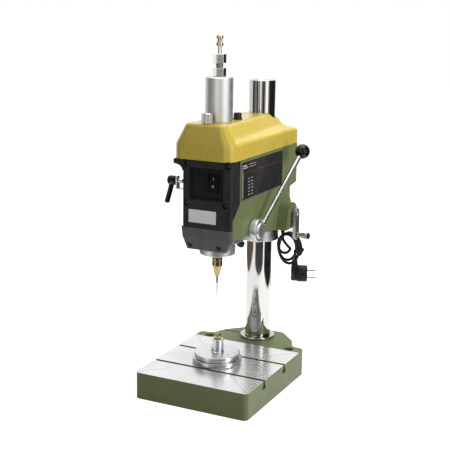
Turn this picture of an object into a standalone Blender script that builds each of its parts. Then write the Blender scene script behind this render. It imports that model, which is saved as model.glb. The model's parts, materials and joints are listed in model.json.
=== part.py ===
"""Mini bench drill press with a water-fed hollow drill.

Metres, +Z up. The origin is on the bench top under the spindle axis, +X is the operator's right, +Y the back.
"""

import math

import bmesh
import bpy
from mathutils import Matrix, Vector

# Shared clearances and mesh fineness
GAP = 0.0003
RUNNING_GAP = 0.0004
OVERRUN = 0.002
ROUND_SIDES = 32
SMALL_SIDES = 14
CORNER_STEPS = 4
SHARP_ANGLE = math.radians(35)
DRAWING_SCALE = 1000

# Base casting and its ground table
BASE_HALF_WIDTH = 0.100
BASE_FRONT = 0.0928
BASE_REAR = 0.138
BASE_HEIGHT = 0.0447
BASE_CORNER = 0.008
BASE_WALL = 0.012
BASE_TOP_THICKNESS = 0.022
RIB_WIDTH = 0.014
BOSS_REAR = 0.200
BOSS_INSET = 0.034
BOSS_HALF_WIDTH = BASE_HALF_WIDTH - BOSS_INSET
BOSS_SHOULDER = 0.166
BOSS_END_INSET = 0.066
BOSS_END_HALF_WIDTH = BASE_HALF_WIDTH - BOSS_END_INSET
BOSS_CORNER = 0.012
SLOT_FRONT_Y = -0.0285
SLOT_REAR_Y = 0.0514
SLOT_NECK = 0.006
SLOT_FOOT_WIDTH = 0.012
SLOT_FOOT_HEIGHT = 0.0065
SLOT_FOOT_Z = 0.033
BOLT_INSET = 0.0237
BOLT_X = BASE_HALF_WIDTH - BOLT_INSET
BOLT_Y = 0.1235
BOLT_HOLE_RADIUS = 0.0045
BOLT_SEAT_RADIUS = 0.0085
BOLT_SEAT_DEPTH = 0.006
SLIT_WIDTH = 0.003
CLAMP_SCREW_INSET = 0.021
CLAMP_SCREW_X = CLAMP_SCREW_INSET - BOSS_HALF_WIDTH
CLAMP_SCREW_Z = 0.022
CLAMP_SCREW_RADIUS = 0.003
CLAMP_HEAD_RADIUS = 0.005
CLAMP_HEAD_LENGTH = 0.006
CLAMP_SCREW_LENGTH = 0.030

# Column
COLUMN_Y = 0.1625
COLUMN_RADIUS = 0.0225
COLUMN_BORE = 0.0150
COLUMN_BOTTOM = 0.004
COLUMN_TOP = 0.4999
FLANGE_RADIUS = 0.0305
FLANGE_HEIGHT = 0.0043
CAP_LENGTH = 0.008
RACK_MODULE = 0.001
RACK_TEETH = 47
RACK_TEETH_BELOW = 13
RACK_HALF_WIDTH = 0.004
RACK_DEPTH = 0.0045

# Work fixture standing on the table
FIXTURE_X = -0.0055
FIXTURE_Y = 0.0147
FIXTURE_RADIUS = 0.041
FIXTURE_BASE_HEIGHT = 0.0100
FIXTURE_LID_RADIUS = 0.038
FIXTURE_LID_HEIGHT = 0.0065
FIXTURE_STEM_RADIUS = 0.0115
FIXTURE_POST_RADIUS = 0.010
FIXTURE_POST_HEIGHT = 0.022
FIXTURE_TIP_RADIUS = 0.006
FIXTURE_TIP_HEIGHT = 0.009

# Head, seen from the side
HEAD_LEFT = -0.0373
HEAD_RIGHT = 0.0488
LIP_LEFT = -0.0530
LIP_LOW = 0.383
LIP_CURVE = 0.010
LIP_INSET = 0.001
HEAD_WALL = 0.004
HEAD_FRONT = -0.0215
HEAD_REAR = 0.205
HEAD_TOP = 0.3905
HEAD_STEP_Y = 0.178
HEAD_STEP_LOW = 0.319
HEAD_STEP_HIGH = 0.323
HEAD_BOTTOM_FRONT = 0.267
CHEEK_FRONT = -0.045
CHEEK_TOP_FRONT = 0.300
CHEEK_TOP_REAR = 0.322
HEAD_BOTTOM_BEND_Y = 0.001
HEAD_BOTTOM_MIDDLE = 0.258
HEAD_BOTTOM_MIDDLE_Y = 0.080
HEAD_BOTTOM_REAR = 0.253
HEAD_BOTTOM_REAR_Y = 0.120
REAR_BOX_RIGHT = 0.040
REAR_BOX_REAR = 0.206
REAR_BOX_SHOULDER = 0.287
REAR_BOX_ROOM = 0.0015
REAR_BOX_SLOPE_TOP = 0.298
BOSS_FACE_X = 0.0675
BOSS_ARCH_Y = 0.148
BOSS_ARCH_Z = 0.278
BOSS_ARCH_RADIUS = 0.020
BOSS_FOOT_FRONT_Y = 0.121
BOSS_FOOT_REAR_Y = 0.168
BOSS_FOOT_Z = 0.2535

# Front panel, chin, switch and plates
PANEL_FRONT = -0.051
PANEL_BOTTOM = 0.2845
PANEL_CORNER = 0.010
PANEL_WALL = 0.004
SWITCH_LEFT = -0.024
SWITCH_RIGHT = 0.034
SWITCH_LOW = 0.329
SWITCH_HIGH = 0.379
SWITCH_DEPTH = 0.010
SWITCH_WALL = 0.003
ROCKER_X = 0.0163
ROCKER_Z = 0.3575
ROCKER_HALF_WIDTH = 0.009
ROCKER_HALF_HEIGHT = 0.0125
ROCKER_DEPTH = 0.008
ROCKER_PROUD = 0.0015
ROCKER_TILT = math.radians(8)
LABEL_LEFT = -0.025
LABEL_RIGHT = 0.0225
LABEL_LOW = 0.293
LABEL_HIGH = 0.3136
PLATE_THICKNESS = 0.0008
SPEED_PLATE_FRONT = -0.017
SPEED_PLATE_REAR = 0.140
SPEED_PLATE_LOW = 0.3275
SPEED_PLATE_HIGH = 0.3865
PLATE_CORNER = 0.002
CHIN_BOTTOM = 0.246
CHIN_LEFT = -0.0403
CHIN_BOTTOM_LEFT = -0.037
CHIN_BOTTOM_RIGHT = 0.033
CHIN_BOTTOM_FRONT = -0.038
CHIN_REAR = -0.0325

# Bare lower casting of the head
FRAME_FRONT = -0.031
FRAME_PLATE_LOW = 0.2615
FRAME_PLATE_HIGH = 0.2665
FRAME_REAR = 0.150
FRAME_SIDE_BEND_Y = 0.001
NECK_RADIUS = 0.0290
NECK_BOTTOM = 0.234
QUILL_TUBE_RADIUS = 0.0235
QUILL_TUBE_TOP = 0.372
SLEEVE_RADIUS = 0.0335
SLEEVE_BOTTOM = 0.225
SLEEVE_TOP = 0.380
SLEEVE_UPPER_RADIUS = 0.0305
GEAR_LUG_X = 0.040
GEAR_LUG_TOP = 0.300
REAR_BOX_BACK = COLUMN_Y + SLEEVE_UPPER_RADIUS + REAR_BOX_ROOM + HEAD_WALL

# Quill, spindle and hollow drill
QUILL_RADIUS = 0.016
QUILL_BOTTOM = 0.231
QUILL_TOP = 0.362
QUILL_BORE = 0.0115
QUILL_RACK_MODULE = 0.001
QUILL_RACK_TEETH = 30
QUILL_RACK_TEETH_BELOW = 4
QUILL_RACK_HALF_WIDTH = 0.004
BEARING_LENGTH = 0.009
SPINDLE_RADIUS = 0.006
SPINDLE_BORE = 0.0015
SPINDLE_TOP = 0.4200
SPINDLE_BOTTOM = 0.2275
NOZZLE_RADIUS = 0.0085
NOZZLE_TOP = 0.2272
NOZZLE_SHOULDER = 0.2126
NOZZLE_BOTTOM = 0.1954
NOZZLE_TIP_RADIUS = 0.0035
DRILL_TUBE_RADIUS = 0.00225
DRILL_TUBE_BOTTOM = 0.184
NEEDLE_RADIUS = 0.001
NEEDLE_BOTTOM = 0.1623

# Motor and belt
MOTOR_Y = 0.086
MOTOR_RADIUS = 0.029
MOTOR_BOTTOM = 0.276
MOTOR_TOP = 0.382
MOTOR_SHAFT_RADIUS = 0.004
MOTOR_SHAFT_BOTTOM = 0.360
PULLEY_LOW = 0.396
PULLEY_HIGH = 0.420
MOTOR_PULLEY_RADIUS = 0.014
SPINDLE_PULLEY_RADIUS = 0.024
PULLEY_GROOVE = 0.0035
BELT_THICKNESS = 0.0028
BELT_HALF_HEIGHT = 0.003
BRIDGE_LOW = 0.3825
BRIDGE_HIGH = 0.3865
BRIDGE_BEARING_RADIUS = 0.011

# Feed lever
FEED_Y = 0.0285
FEED_Z = 0.272
FEED_PITCH_RADIUS = 0.014
FEED_GEAR_TEETH = 28
FEED_GEAR_HALF_WIDTH = 0.0035
FEED_SHAFT_RADIUS = 0.0045
HUB_RADIUS = 0.019
ROD_SOCKET_SHARE = 0.7
HUB_INNER_X = 0.0495
HUB_OUTER_X = 0.0615
HUB_CAP_RADIUS = 0.012
HUB_CAP_LENGTH = 0.003
ROD_START_X = 0.0590
ROD_END_X = 0.0840
ROD_END_Y = 0.143
ROD_END_Z = 0.3865
ROD_RADIUS = 0.0036
BALL_RADIUS = 0.0123

# Height crank with its mitre gears
CRANK_Y = 0.148
CRANK_Z = 0.280
CRANK_SHAFT_RADIUS = 0.004
CRANK_ARM_INNER_X = 0.0710
CRANK_ARM_OUTER_X = 0.0770
CRANK_ARM_WIDTH = 0.017
CRANK_THROW = 0.0375
GRIP_START_RADIUS = 0.0042
GRIP_END_RADIUS = 0.0055
GRIP_LENGTH = 0.019
GRIP_PIN_RADIUS = 0.0022
GRIP_RING_LENGTH = 0.0025
RACK_TIP_SINK = 0.0006
HOIST_PITCH_RADIUS = 0.008
HOIST_TEETH = 16
HOIST_HALF_WIDTH = 0.0035
HOIST_SHAFT_RADIUS = 0.003
MITRE_TEETH = 14
MITRE_RADIUS = 0.0058
MITRE_WIDTH = 0.0030
HOIST_SHAFT_REAR = 0.1715
HOIST_BEARING = 0.0032

# Clamp lever on the left and quill lock screw
STUD_Y = -0.0265
STUD_Z = 0.351
STUD_RADIUS = 0.0035
STUD_END_X = -0.0615
CLAMP_HUB_RADIUS = 0.0075
CLAMP_HUB_END_X = -0.0745
CLAMP_TIP_X = -0.0775
CLAMP_TIP_Z = 0.314
CLAMP_BAR_RADIUS = 0.0042
CLAMP_TIP_RADIUS = 0.0050
BRACKET_OUTER_X = -0.0595
BRACKET_THICKNESS = 0.002
BRACKET_HALF_WIDTH = 0.005
BRACKET_LOW = 0.338
LOCK_X = 0.041
LOCK_Y = 0.008
LOCK_HEAD_RADIUS = 0.006
LOCK_HEAD_LENGTH = 0.008
LOCK_SHANK_RADIUS = 0.002
LOCK_SHANK_LENGTH = 0.0068
LOCK_RIDGES = 16

# Belt cover with the water cylinder
COVER_BOTTOM = 0.3912
COVER_TRAY_TOP = 0.413
COVER_SHELF = 0.4238
COVER_TOP = 0.446
COVER_HALF_WIDTH = 0.0488
COVER_LEFT_EXTRA = 0.005
COVER_FRONT = -0.0518
COVER_REAR = 0.209
COVER_CORNER = 0.012
COVER_REAR_CORNER = 0.006
COVER_SHELF_HALF_WIDTH = 0.0445
COVER_SHELF_REAR_HALF_WIDTH = 0.0310
COVER_SHELF_FRONT = -0.0500
COVER_SHELF_REAR = 0.186
COVER_TOP_FRONT = -0.046
COVER_TOP_REAR = 0.171
COVER_TOP_FRONT_HALF_WIDTH = 0.0325
COVER_TOP_REAR_HALF_WIDTH = 0.0175
COVER_TOP_CORNER = 0.005
COVER_WALL = 0.003
COVER_ROOF = 0.004
COVER_COLUMN_GAP = 0.0015
NUT_X = -0.003
NUT_Y = -0.0335
NUT_RADIUS = 0.009
NUT_HEIGHT = 0.016
NUT_RIDGES = 24
RIDGE_DEPTH = 0.0006
CAP_X = 0.013
CAP_Y = 0.040
CAP_DISC_RADIUS = 0.008
CAP_RADIUS = 0.005
CAP_HEIGHT = 0.0105
CAP_DISC_HEIGHT = 0.003
CYLINDER_RADIUS = 0.0217
FITTING_TOP = 0.579
CYLINDER_TOP_SHARE = 0.5215
HEX_LOW_TOP_SHARE = 0.6232
NECK_TOP_SHARE = 0.6760
HEX_HIGH_TOP_SHARE = 0.7815
STEM_TOP_SHARE = 0.8719
CYLINDER_CHAMFER = 0.0015
SPIGOT_RADIUS = 0.012
SPIGOT_LENGTH = 0.007
HEX_RADIUS = 0.0105
THREAD_NECK_RADIUS = 0.0062
STEM_RADIUS = 0.00325
FITTING_RADIUS = 0.00565
FITTING_WAIST_SHARE = 0.75

# Power cord
CORD_RADIUS = 0.0025
GLAND_X = 0.047
GLAND_Y = 0.1553
GLAND_TOP = 0.2607
GLAND_BOTTOM = 0.2405
GLAND_RADIUS = 0.0062
LOOP_X = 0.0520
LOOP_TOP = 0.2370
LOOP_FIRST_HALF_WIDTH = 0.0125
LOOP_LAST_HALF_WIDTH = 0.0205
LOOP_FIRST_HALF_HEIGHT = 0.0125
LOOP_LAST_HALF_HEIGHT = 0.0295
LOOP_START_Y = 0.1585
LOOP_PITCH = 0.0074
LOOP_TURNS = 3
LOOP_POINTS = 24
LOOP_START_ANGLE = math.radians(135)
LOOP_END_ANGLE = math.radians(80)
LEAD_ROUTE = ((0.0470, 0.1553, 0.2402), (0.0470, 0.1553, 0.2345), (0.0485, 0.1555, 0.2285),
              (0.0525, 0.1563, 0.2225), (0.0572, 0.1572, 0.2175), (0.0608, 0.1580, 0.2138))
TAIL_ROUTE = ((0.0728, 0.1806, 0.2070), (0.0712, 0.1825, 0.2015), (0.0668, 0.1845, 0.1972),
              (0.0620, 0.1861, 0.1944), (0.0580, 0.1868, 0.1903), (0.0580, 0.1868, 0.1873))
MILLIMETRE = 0.001
TIE_LEFT = 0.0634
TIE_RIGHT = 0.0761
TIE_FRONT = 0.1620
TIE_REAR = 0.1858
TIE_Z = 0.2080
TIE_HALF_LENGTH = 0.0035
TIE_THICKNESS = 0.0014
PLUG_X = 0.058
PLUG_Y = 0.1868
PLUG_TOP = 0.1870
PLUG_TURN = math.radians(22)
PLUG_NECK_RADIUS = 0.0062
PLUG_SHOULDER = 0.1760
PLUG_HEAD_Z = 0.1625
PLUG_HEAD_RADIUS = 0.0147
PLUG_HEAD_BACK = 0.0040
PLUG_HEAD_FACE = 0.0227
PLUG_EDGE = 0.0012
PIN_RADIUS = 0.0024
PIN_LENGTH = 0.0150
PIN_HALF_DY = 0.0085
PIN_HALF_DZ = 0.0040

PARTS = "mini_bench_drill_press"


def start_scene():
    for old in list(bpy.data.objects):
        bpy.data.objects.remove(old, do_unlink=True)
    groups = []
    for name in (PARTS, "cutters"):
        group = bpy.data.collections.new(name)
        bpy.context.scene.collection.children.link(group)
        groups.append(group)
    return groups


PART_GROUP, CUTTER_GROUP = start_scene()


def paint(name, colour, roughness, metallic):
    made = bpy.data.materials.new(name)
    made.use_nodes = True
    shader = made.node_tree.nodes["Principled BSDF"]
    shader.inputs["Base Color"].default_value = (*colour, 1)
    shader.inputs["Roughness"].default_value = roughness
    shader.inputs["Metallic"].default_value = metallic
    return made


GREEN = paint("green_paint", (0.16, 0.20, 0.07), 0.45, 0)
YELLOW = paint("yellow_paint", (0.72, 0.53, 0.06), 0.3, 0)
BLACK = paint("black_plastic", (0.02, 0.02, 0.022), 0.4, 0)
GREY = paint("dark_grey_plastic", (0.05, 0.05, 0.055), 0.5, 0)
WHITE = paint("label_white", (0.8, 0.8, 0.78), 0.5, 0)
STEEL = paint("ground_steel", (0.6, 0.6, 0.6), 0.3, 1)
CHROME = paint("chrome", (0.8, 0.8, 0.8), 0.08, 1)
ALUMINIUM = paint("aluminium", (0.7, 0.71, 0.72), 0.35, 1)
BRASS = paint("brass", (0.75, 0.52, 0.2), 0.25, 1)
RUBBER = paint("cord_rubber", (0.015, 0.015, 0.016), 0.6, 0)


def keep(name, mesh, paint_used=None, smooth=True):
    """Make an object: a piece where it has paint, otherwise a hidden cutter."""
    made = bpy.data.objects.new(name, mesh)
    mesh.name = name
    if paint_used is None:
        CUTTER_GROUP.objects.link(made)
        made.hide_render = True
        made.display_type = "WIRE"
        return made
    PART_GROUP.objects.link(made)
    mesh.materials.clear()
    mesh.materials.append(paint_used)
    if smooth:
        mesh.shade_smooth()
        mesh.set_sharp_from_angle(angle=SHARP_ANGLE)
    return made


def mesh_from(shape, name):
    mesh = bpy.data.meshes.new(name)
    shape.to_mesh(mesh)
    shape.free()
    return mesh


def box(name, low, high, paint_used=None):
    shape = bmesh.new()
    bmesh.ops.create_cube(shape, size=1)
    low = Vector(low)
    high = Vector(high)
    size = high - low
    place = Matrix.Translation((low + high) / 2) @ Matrix.Diagonal((*size, 1))
    bmesh.ops.transform(shape, matrix=place, verts=shape.verts)
    return keep(name, mesh_from(shape, name), paint_used, smooth=False)


def rod(name, start, end, radius, paint_used=None, end_radius=None, sides=ROUND_SIDES):
    """A round bar, or a cone frustum where end_radius is given, between two points."""
    start = Vector(start)
    along = Vector(end) - start
    shape = bmesh.new()
    bmesh.ops.create_cone(
        shape, cap_ends=True, segments=sides, radius1=radius,
        radius2=radius if end_radius is None else end_radius, depth=along.length)
    turn = along.to_track_quat("Z", "Y").to_matrix().to_4x4()
    place = Matrix.Translation(start + along / 2) @ turn
    bmesh.ops.transform(shape, matrix=place, verts=shape.verts)
    return keep(name, mesh_from(shape, name), paint_used)


AXIS_TURNS = {
    "Z": Matrix.Identity(4),
    "X": Matrix(((0, 0, 1, 0), (1, 0, 0, 0), (0, 1, 0, 0), (0, 0, 0, 1))),
    "Y": Matrix(((1, 0, 0, 0), (0, 0, -1, 0), (0, 1, 0, 0), (0, 0, 0, 1))),
}


def taken_mesh(source, name):
    """The evaluated mesh of a curve or a modified object in world space, with its caps welded."""
    graph = bpy.context.evaluated_depsgraph_get()
    mesh = bpy.data.meshes.new_from_object(source.evaluated_get(graph))
    mesh.transform(source.matrix_world)
    bpy.data.objects.remove(source, do_unlink=True)
    shape = bmesh.new()
    shape.from_mesh(mesh)
    bmesh.ops.remove_doubles(shape, verts=shape.verts, dist=RIDGE_DEPTH / len(AXIS_TURNS) / ROUND_SIDES)
    bpy.data.meshes.remove(mesh)
    return mesh_from(shape, name)


def plate(name, outline, axis, low, high, paint_used=None, smooth=True):
    """A flat outline made solid from low to high along an axis.

    The outline is in X and Y for axis Z, in Y and Z for axis X, and in X and Z for axis Y. It is drawn
    enlarged by DRAWING_SCALE, so that Blender's fill keeps small gear teeth apart.
    """
    flat = bpy.data.curves.new(name, "CURVE")
    flat.dimensions = "2D"
    flat.fill_mode = "BOTH"
    flat.extrude = (high - low) / 2 * DRAWING_SCALE
    line = flat.splines.new("POLY")
    line.points.add(len(outline) - 1)
    for point, place in zip(line.points, outline):
        point.co = (place[0] * DRAWING_SCALE, place[1] * DRAWING_SCALE, 0, 1)
    line.use_cyclic_u = True
    drawn = bpy.data.objects.new(name, flat)
    CUTTER_GROUP.objects.link(drawn)
    middle = (low + high) / 2
    if axis == "Y":
        middle = -middle
    shrink = Matrix.Scale(1 / DRAWING_SCALE, 4)
    drawn.matrix_world = AXIS_TURNS[axis] @ Matrix.Translation((0, 0, middle)) @ shrink
    bpy.context.view_layer.update()
    return keep(name, taken_mesh(drawn, name), paint_used, smooth)


def tube(name, route, radius, paint_used, fineness):
    line = bpy.data.curves.new(name, "CURVE")
    line.dimensions = "3D"
    line.bevel_depth = radius
    line.bevel_resolution = fineness
    line.use_fill_caps = True
    spline = line.splines.new("POLY")
    spline.points.add(len(route) - 1)
    for point, place in zip(spline.points, route):
        point.co = (*place, 1)
    drawn = bpy.data.objects.new(name, line)
    CUTTER_GROUP.objects.link(drawn)
    bpy.context.view_layer.update()
    return keep(name, taken_mesh(drawn, name), paint_used)


def turned(name, profile, centre, paint_used=None, axis="Z", sides=ROUND_SIDES):
    """A turned piece. The profile is radius and height, down its outer side; height runs along the axis."""
    mesh = bpy.data.meshes.new(name)
    mesh.from_pydata([(radius, 0, height) for radius, height in profile],
                     [(i, i + 1) for i in range(len(profile) - 1)], [])
    lathe = bpy.data.objects.new(name, mesh)
    CUTTER_GROUP.objects.link(lathe)
    turn = lathe.modifiers.new("Turn", "SCREW")
    turn.steps = sides
    turn.render_steps = sides
    turn.use_merge_vertices = True
    turn.merge_threshold = RIDGE_DEPTH / ROUND_SIDES
    lathe.matrix_world = Matrix.Translation(centre) @ AXIS_TURNS[axis]
    bpy.context.view_layer.update()
    return keep(name, taken_mesh(lathe, name), paint_used)


def loft(name, sections, paint_used=None):
    """A solid through closed sections of equal point count, from the lowest to the highest."""
    shape = bmesh.new()
    rings = [[shape.verts.new(place) for place in section] for section in sections]
    for lower, upper in zip(rings, rings[1:]):
        for i in range(len(lower)):
            after = (i + 1) % len(lower)
            shape.faces.new((lower[i], lower[after], upper[after], upper[i]))
    shape.faces.new(reversed(rings[0]))
    shape.faces.new(rings[-1])
    bmesh.ops.recalc_face_normals(shape, faces=shape.faces)
    return keep(name, mesh_from(shape, name), paint_used)


def cut(target, *tools):
    for tool in tools:
        step = target.modifiers.new("Cut " + tool.name, "BOOLEAN")
        step.operation = "DIFFERENCE"
        step.solver = "EXACT"
        step.object = tool


def fuse(target, *others):
    for other in others:
        step = target.modifiers.new("Join " + other.name, "BOOLEAN")
        step.operation = "UNION"
        step.solver = "EXACT"
        step.object = other


def rounded(corners, steps=CORNER_STEPS):
    """An outline from corners (u, v, radius), each radius drawn as an arc."""
    points = []
    for i, (u, v, radius) in enumerate(corners):
        here = Vector((u, v))
        if radius == 0:
            points.append((u, v))
            continue
        before = (Vector(corners[i - 1][:2]) - here).normalized()
        after = (Vector(corners[(i + 1) % len(corners)][:2]) - here).normalized()
        half = before.angle(after) / 2
        reach = radius / math.tan(half)
        centre = here + (before + after).normalized() * radius / math.sin(half)
        first = here + before * reach - centre
        last = here + after * reach - centre
        sweep = first.angle_signed(last)
        for step in range(steps + 1):
            turn = Matrix.Rotation(-sweep * step / steps, 2)
            point = centre + turn @ first
            points.append((point.x, point.y))
    return points


def rectangle(left, low, right, high, radius):
    corners = [(left, low, radius), (right, low, radius), (right, high, radius), (left, high, radius)]
    return rounded(corners)


def gear_outline(centre, pitch_radius, teeth, tooth_phase=0):
    """A plain gear outline with straight flanks: one module above the pitch circle, a bit more below."""
    module = 2 * pitch_radius / teeth
    flank_shares = ((-0.31, -1.2), (-0.08, 0.8), (0.08, 0.8), (0.31, -1.2))
    points = []
    for tooth in range(teeth):
        for turn_share, height_share in flank_shares:
            angle = 2 * math.pi * (tooth + turn_share) / teeth + tooth_phase
            radius = pitch_radius + height_share * module
            points.append((centre[0] + radius * math.cos(angle), centre[1] + radius * math.sin(angle)))
    return points


def rack(name, axis, width, back, tip, low, teeth, module, paint_used=None):
    """A toothed bar along Z with its teeth towards +u; width is its low and high side along the axis."""
    pitch = math.pi * module
    top = low + teeth * pitch
    bar = plate(name, [(back, low), (tip, low), (tip, top), (back, top)], axis, *width, paint_used, smooth=False)
    root = tip - 2 * module
    middle = low + pitch / 2
    half_root = pitch / 8
    half_mouth = 3 * half_root
    gap = plate("tooth_gaps", [
        (root, middle - half_root), (tip, middle - half_mouth), (tip + OVERRUN, middle - half_mouth),
        (tip + OVERRUN, middle + half_mouth), (tip, middle + half_mouth), (root, middle + half_root)],
        axis, width[0] - OVERRUN, width[1] + OVERRUN)
    row = gap.modifiers.new("Row of gaps", "ARRAY")
    row.count = teeth
    row.use_relative_offset = False
    row.use_constant_offset = True
    row.constant_offset_displace = (0, 0, pitch)
    cut(bar, gap)
    return bar


def ridged_outline(centre, radius, ridges):
    points = []
    for i in range(2 * ridges):
        angle = math.pi * i / ridges
        reach = radius - (i % 2) * RIDGE_DEPTH
        points.append((centre[0] + reach * math.cos(angle), centre[1] + reach * math.sin(angle)))
    return points


def joint(name, place, *pieces):
    """An empty on a joint's axis that carries the pieces of the moving body."""
    holder = bpy.data.objects.new(name, None)
    PART_GROUP.objects.link(holder)
    holder.location = place
    for piece in pieces:
        piece.parent = holder
        piece.matrix_parent_inverse = Matrix.Translation(Vector(place)).inverted()
    return holder


def base():
    outline = rounded([
        (-BASE_HALF_WIDTH, -BASE_FRONT, BASE_CORNER), (BASE_HALF_WIDTH, -BASE_FRONT, BASE_CORNER),
        (BASE_HALF_WIDTH, BASE_REAR, BASE_CORNER), (BOSS_HALF_WIDTH + BOSS_CORNER, BASE_REAR, BOSS_CORNER),
        (BOSS_HALF_WIDTH, BOSS_SHOULDER, BOSS_CORNER), (BOSS_END_HALF_WIDTH, BOSS_REAR, BOSS_CORNER),
        (-BOSS_END_HALF_WIDTH, BOSS_REAR, BOSS_CORNER), (-BOSS_HALF_WIDTH, BOSS_SHOULDER, BOSS_CORNER),
        (-BOSS_HALF_WIDTH - BOSS_CORNER, BASE_REAR, BOSS_CORNER), (-BASE_HALF_WIDTH, BASE_REAR, BASE_CORNER)])
    casting = plate("base_casting", outline, "Z", 0, BASE_HEIGHT, GREEN)
    roof = BASE_HEIGHT - BASE_TOP_THICKNESS
    half_rib = RIB_WIDTH / 2
    inner_x = BASE_HALF_WIDTH - BASE_WALL
    inner_rear = BASE_REAR - BASE_WALL - BOLT_SEAT_RADIUS * 2
    for side in (-1, 1):
        for front, rear in ((BASE_WALL - BASE_FRONT, -half_rib), (half_rib, inner_rear)):
            near = side * half_rib
            far = side * inner_x
            pocket = box("base_pocket", (min(near, far), front, -OVERRUN), (max(near, far), rear, roof))
            cut(casting, pocket)
        bolt = (side * BOLT_X, BOLT_Y)
        hole = rod("bolt_hole", (*bolt, -OVERRUN), (*bolt, BASE_HEIGHT + OVERRUN), BOLT_HOLE_RADIUS,
                   sides=SMALL_SIDES)
        seat = rod("bolt_seat", (*bolt, BASE_HEIGHT - BOLT_SEAT_DEPTH), (*bolt, BASE_HEIGHT + OVERRUN),
                   BOLT_SEAT_RADIUS, sides=SMALL_SIDES)
        cut(casting, hole, seat)
    reach = BASE_HALF_WIDTH + OVERRUN
    for slot_y in (SLOT_FRONT_Y, SLOT_REAR_Y):
        half_neck = SLOT_NECK / 2
        half_foot = SLOT_FOOT_WIDTH / 2
        foot_low = SLOT_FOOT_Z - SLOT_FOOT_HEIGHT / 2
        foot_high = SLOT_FOOT_Z + SLOT_FOOT_HEIGHT / 2
        tee = [(slot_y - half_foot, foot_low), (slot_y + half_foot, foot_low), (slot_y + half_foot, foot_high),
               (slot_y + half_neck, foot_high), (slot_y + half_neck, BASE_HEIGHT + OVERRUN),
               (slot_y - half_neck, BASE_HEIGHT + OVERRUN), (slot_y - half_neck, foot_high),
               (slot_y - half_foot, foot_high)]
        cut(casting, plate("table_slot", tee, "X", -reach, reach))
    bore = rod("column_seat", (0, COLUMN_Y, COLUMN_BOTTOM - GAP), (0, COLUMN_Y, BASE_HEIGHT + OVERRUN),
               COLUMN_RADIUS + GAP)
    slit = box("clamp_slit", (-BOSS_HALF_WIDTH - OVERRUN, COLUMN_Y - SLIT_WIDTH / 2, -OVERRUN),
               (-COLUMN_RADIUS / 2, COLUMN_Y + SLIT_WIDTH / 2, BASE_HEIGHT + OVERRUN))
    screw_front = COLUMN_Y - CLAMP_SCREW_LENGTH / 2
    screw_rear = COLUMN_Y + CLAMP_SCREW_LENGTH / 2
    screw_at = (CLAMP_SCREW_X, CLAMP_SCREW_Z)

    def on_screw(y):
        return (screw_at[0], y, screw_at[1])

    shank_hole = rod("clamp_hole", on_screw(screw_front - GAP), on_screw(screw_rear),
                     CLAMP_SCREW_RADIUS + GAP, sides=SMALL_SIDES)
    head_hole = rod("clamp_head_hole", on_screw(screw_rear - GAP), on_screw(BOSS_REAR + OVERRUN),
                    CLAMP_HEAD_RADIUS + GAP, sides=SMALL_SIDES)
    cut(casting, bore, slit, shank_hole, head_hole)
    screw = turned("column_clamp_screw", [
        (0, screw_rear + CLAMP_HEAD_LENGTH), (CLAMP_HEAD_RADIUS, screw_rear + CLAMP_HEAD_LENGTH),
        (CLAMP_HEAD_RADIUS, screw_rear), (CLAMP_SCREW_RADIUS, screw_rear),
        (CLAMP_SCREW_RADIUS, screw_front), (0, screw_front)], (0, 0, 0), STEEL, sides=SMALL_SIDES)
    screw.data.transform(Matrix.Translation((CLAMP_SCREW_X, 0, CLAMP_SCREW_Z)) @ AXIS_TURNS["Y"]
                         @ Matrix.Diagonal((1, 1, -1, 1)))
    screw.data.flip_normals()


def column():
    centre = (0, COLUMN_Y, 0)
    pipe = turned("column_tube", [
        (COLUMN_BORE, COLUMN_TOP), (COLUMN_RADIUS, COLUMN_TOP), (COLUMN_RADIUS, COLUMN_BOTTOM),
        (COLUMN_BORE, COLUMN_BOTTOM), (COLUMN_BORE, COLUMN_TOP)], centre, CHROME)
    tip = COLUMN_RADIUS - RACK_TIP_SINK
    back = tip - RACK_DEPTH
    pitch = math.pi * RACK_MODULE
    bottom = CRANK_Z - RACK_TEETH_BELOW * pitch - pitch / 2
    top = bottom + RACK_TEETH * pitch
    front = COLUMN_Y - RACK_HALF_WIDTH
    rear = COLUMN_Y + RACK_HALF_WIDTH
    groove = box("rack_groove", (back - GAP, front - GAP, bottom - GAP),
                 (COLUMN_RADIUS + OVERRUN, rear + GAP, top + GAP))
    cut(pipe, groove)
    rack("column_rack", "Y", (front, rear), back, tip, bottom, RACK_TEETH, RACK_MODULE, STEEL)
    inner = COLUMN_RADIUS + GAP
    low = BASE_HEIGHT + GAP
    high = low + FLANGE_HEIGHT
    edge = FLANGE_HEIGHT / 4
    turned("column_flange", [
        (inner, high), (FLANGE_RADIUS - edge, high), (FLANGE_RADIUS, high - edge), (FLANGE_RADIUS, low),
        (inner, low), (inner, high)], centre, CHROME)
    bottom = COLUMN_TOP - CAP_LENGTH
    turned("column_cap", [
        (0, COLUMN_TOP), (COLUMN_BORE - GAP, COLUMN_TOP), (COLUMN_BORE - GAP, bottom), (0, bottom)],
        centre, BLACK)


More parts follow.
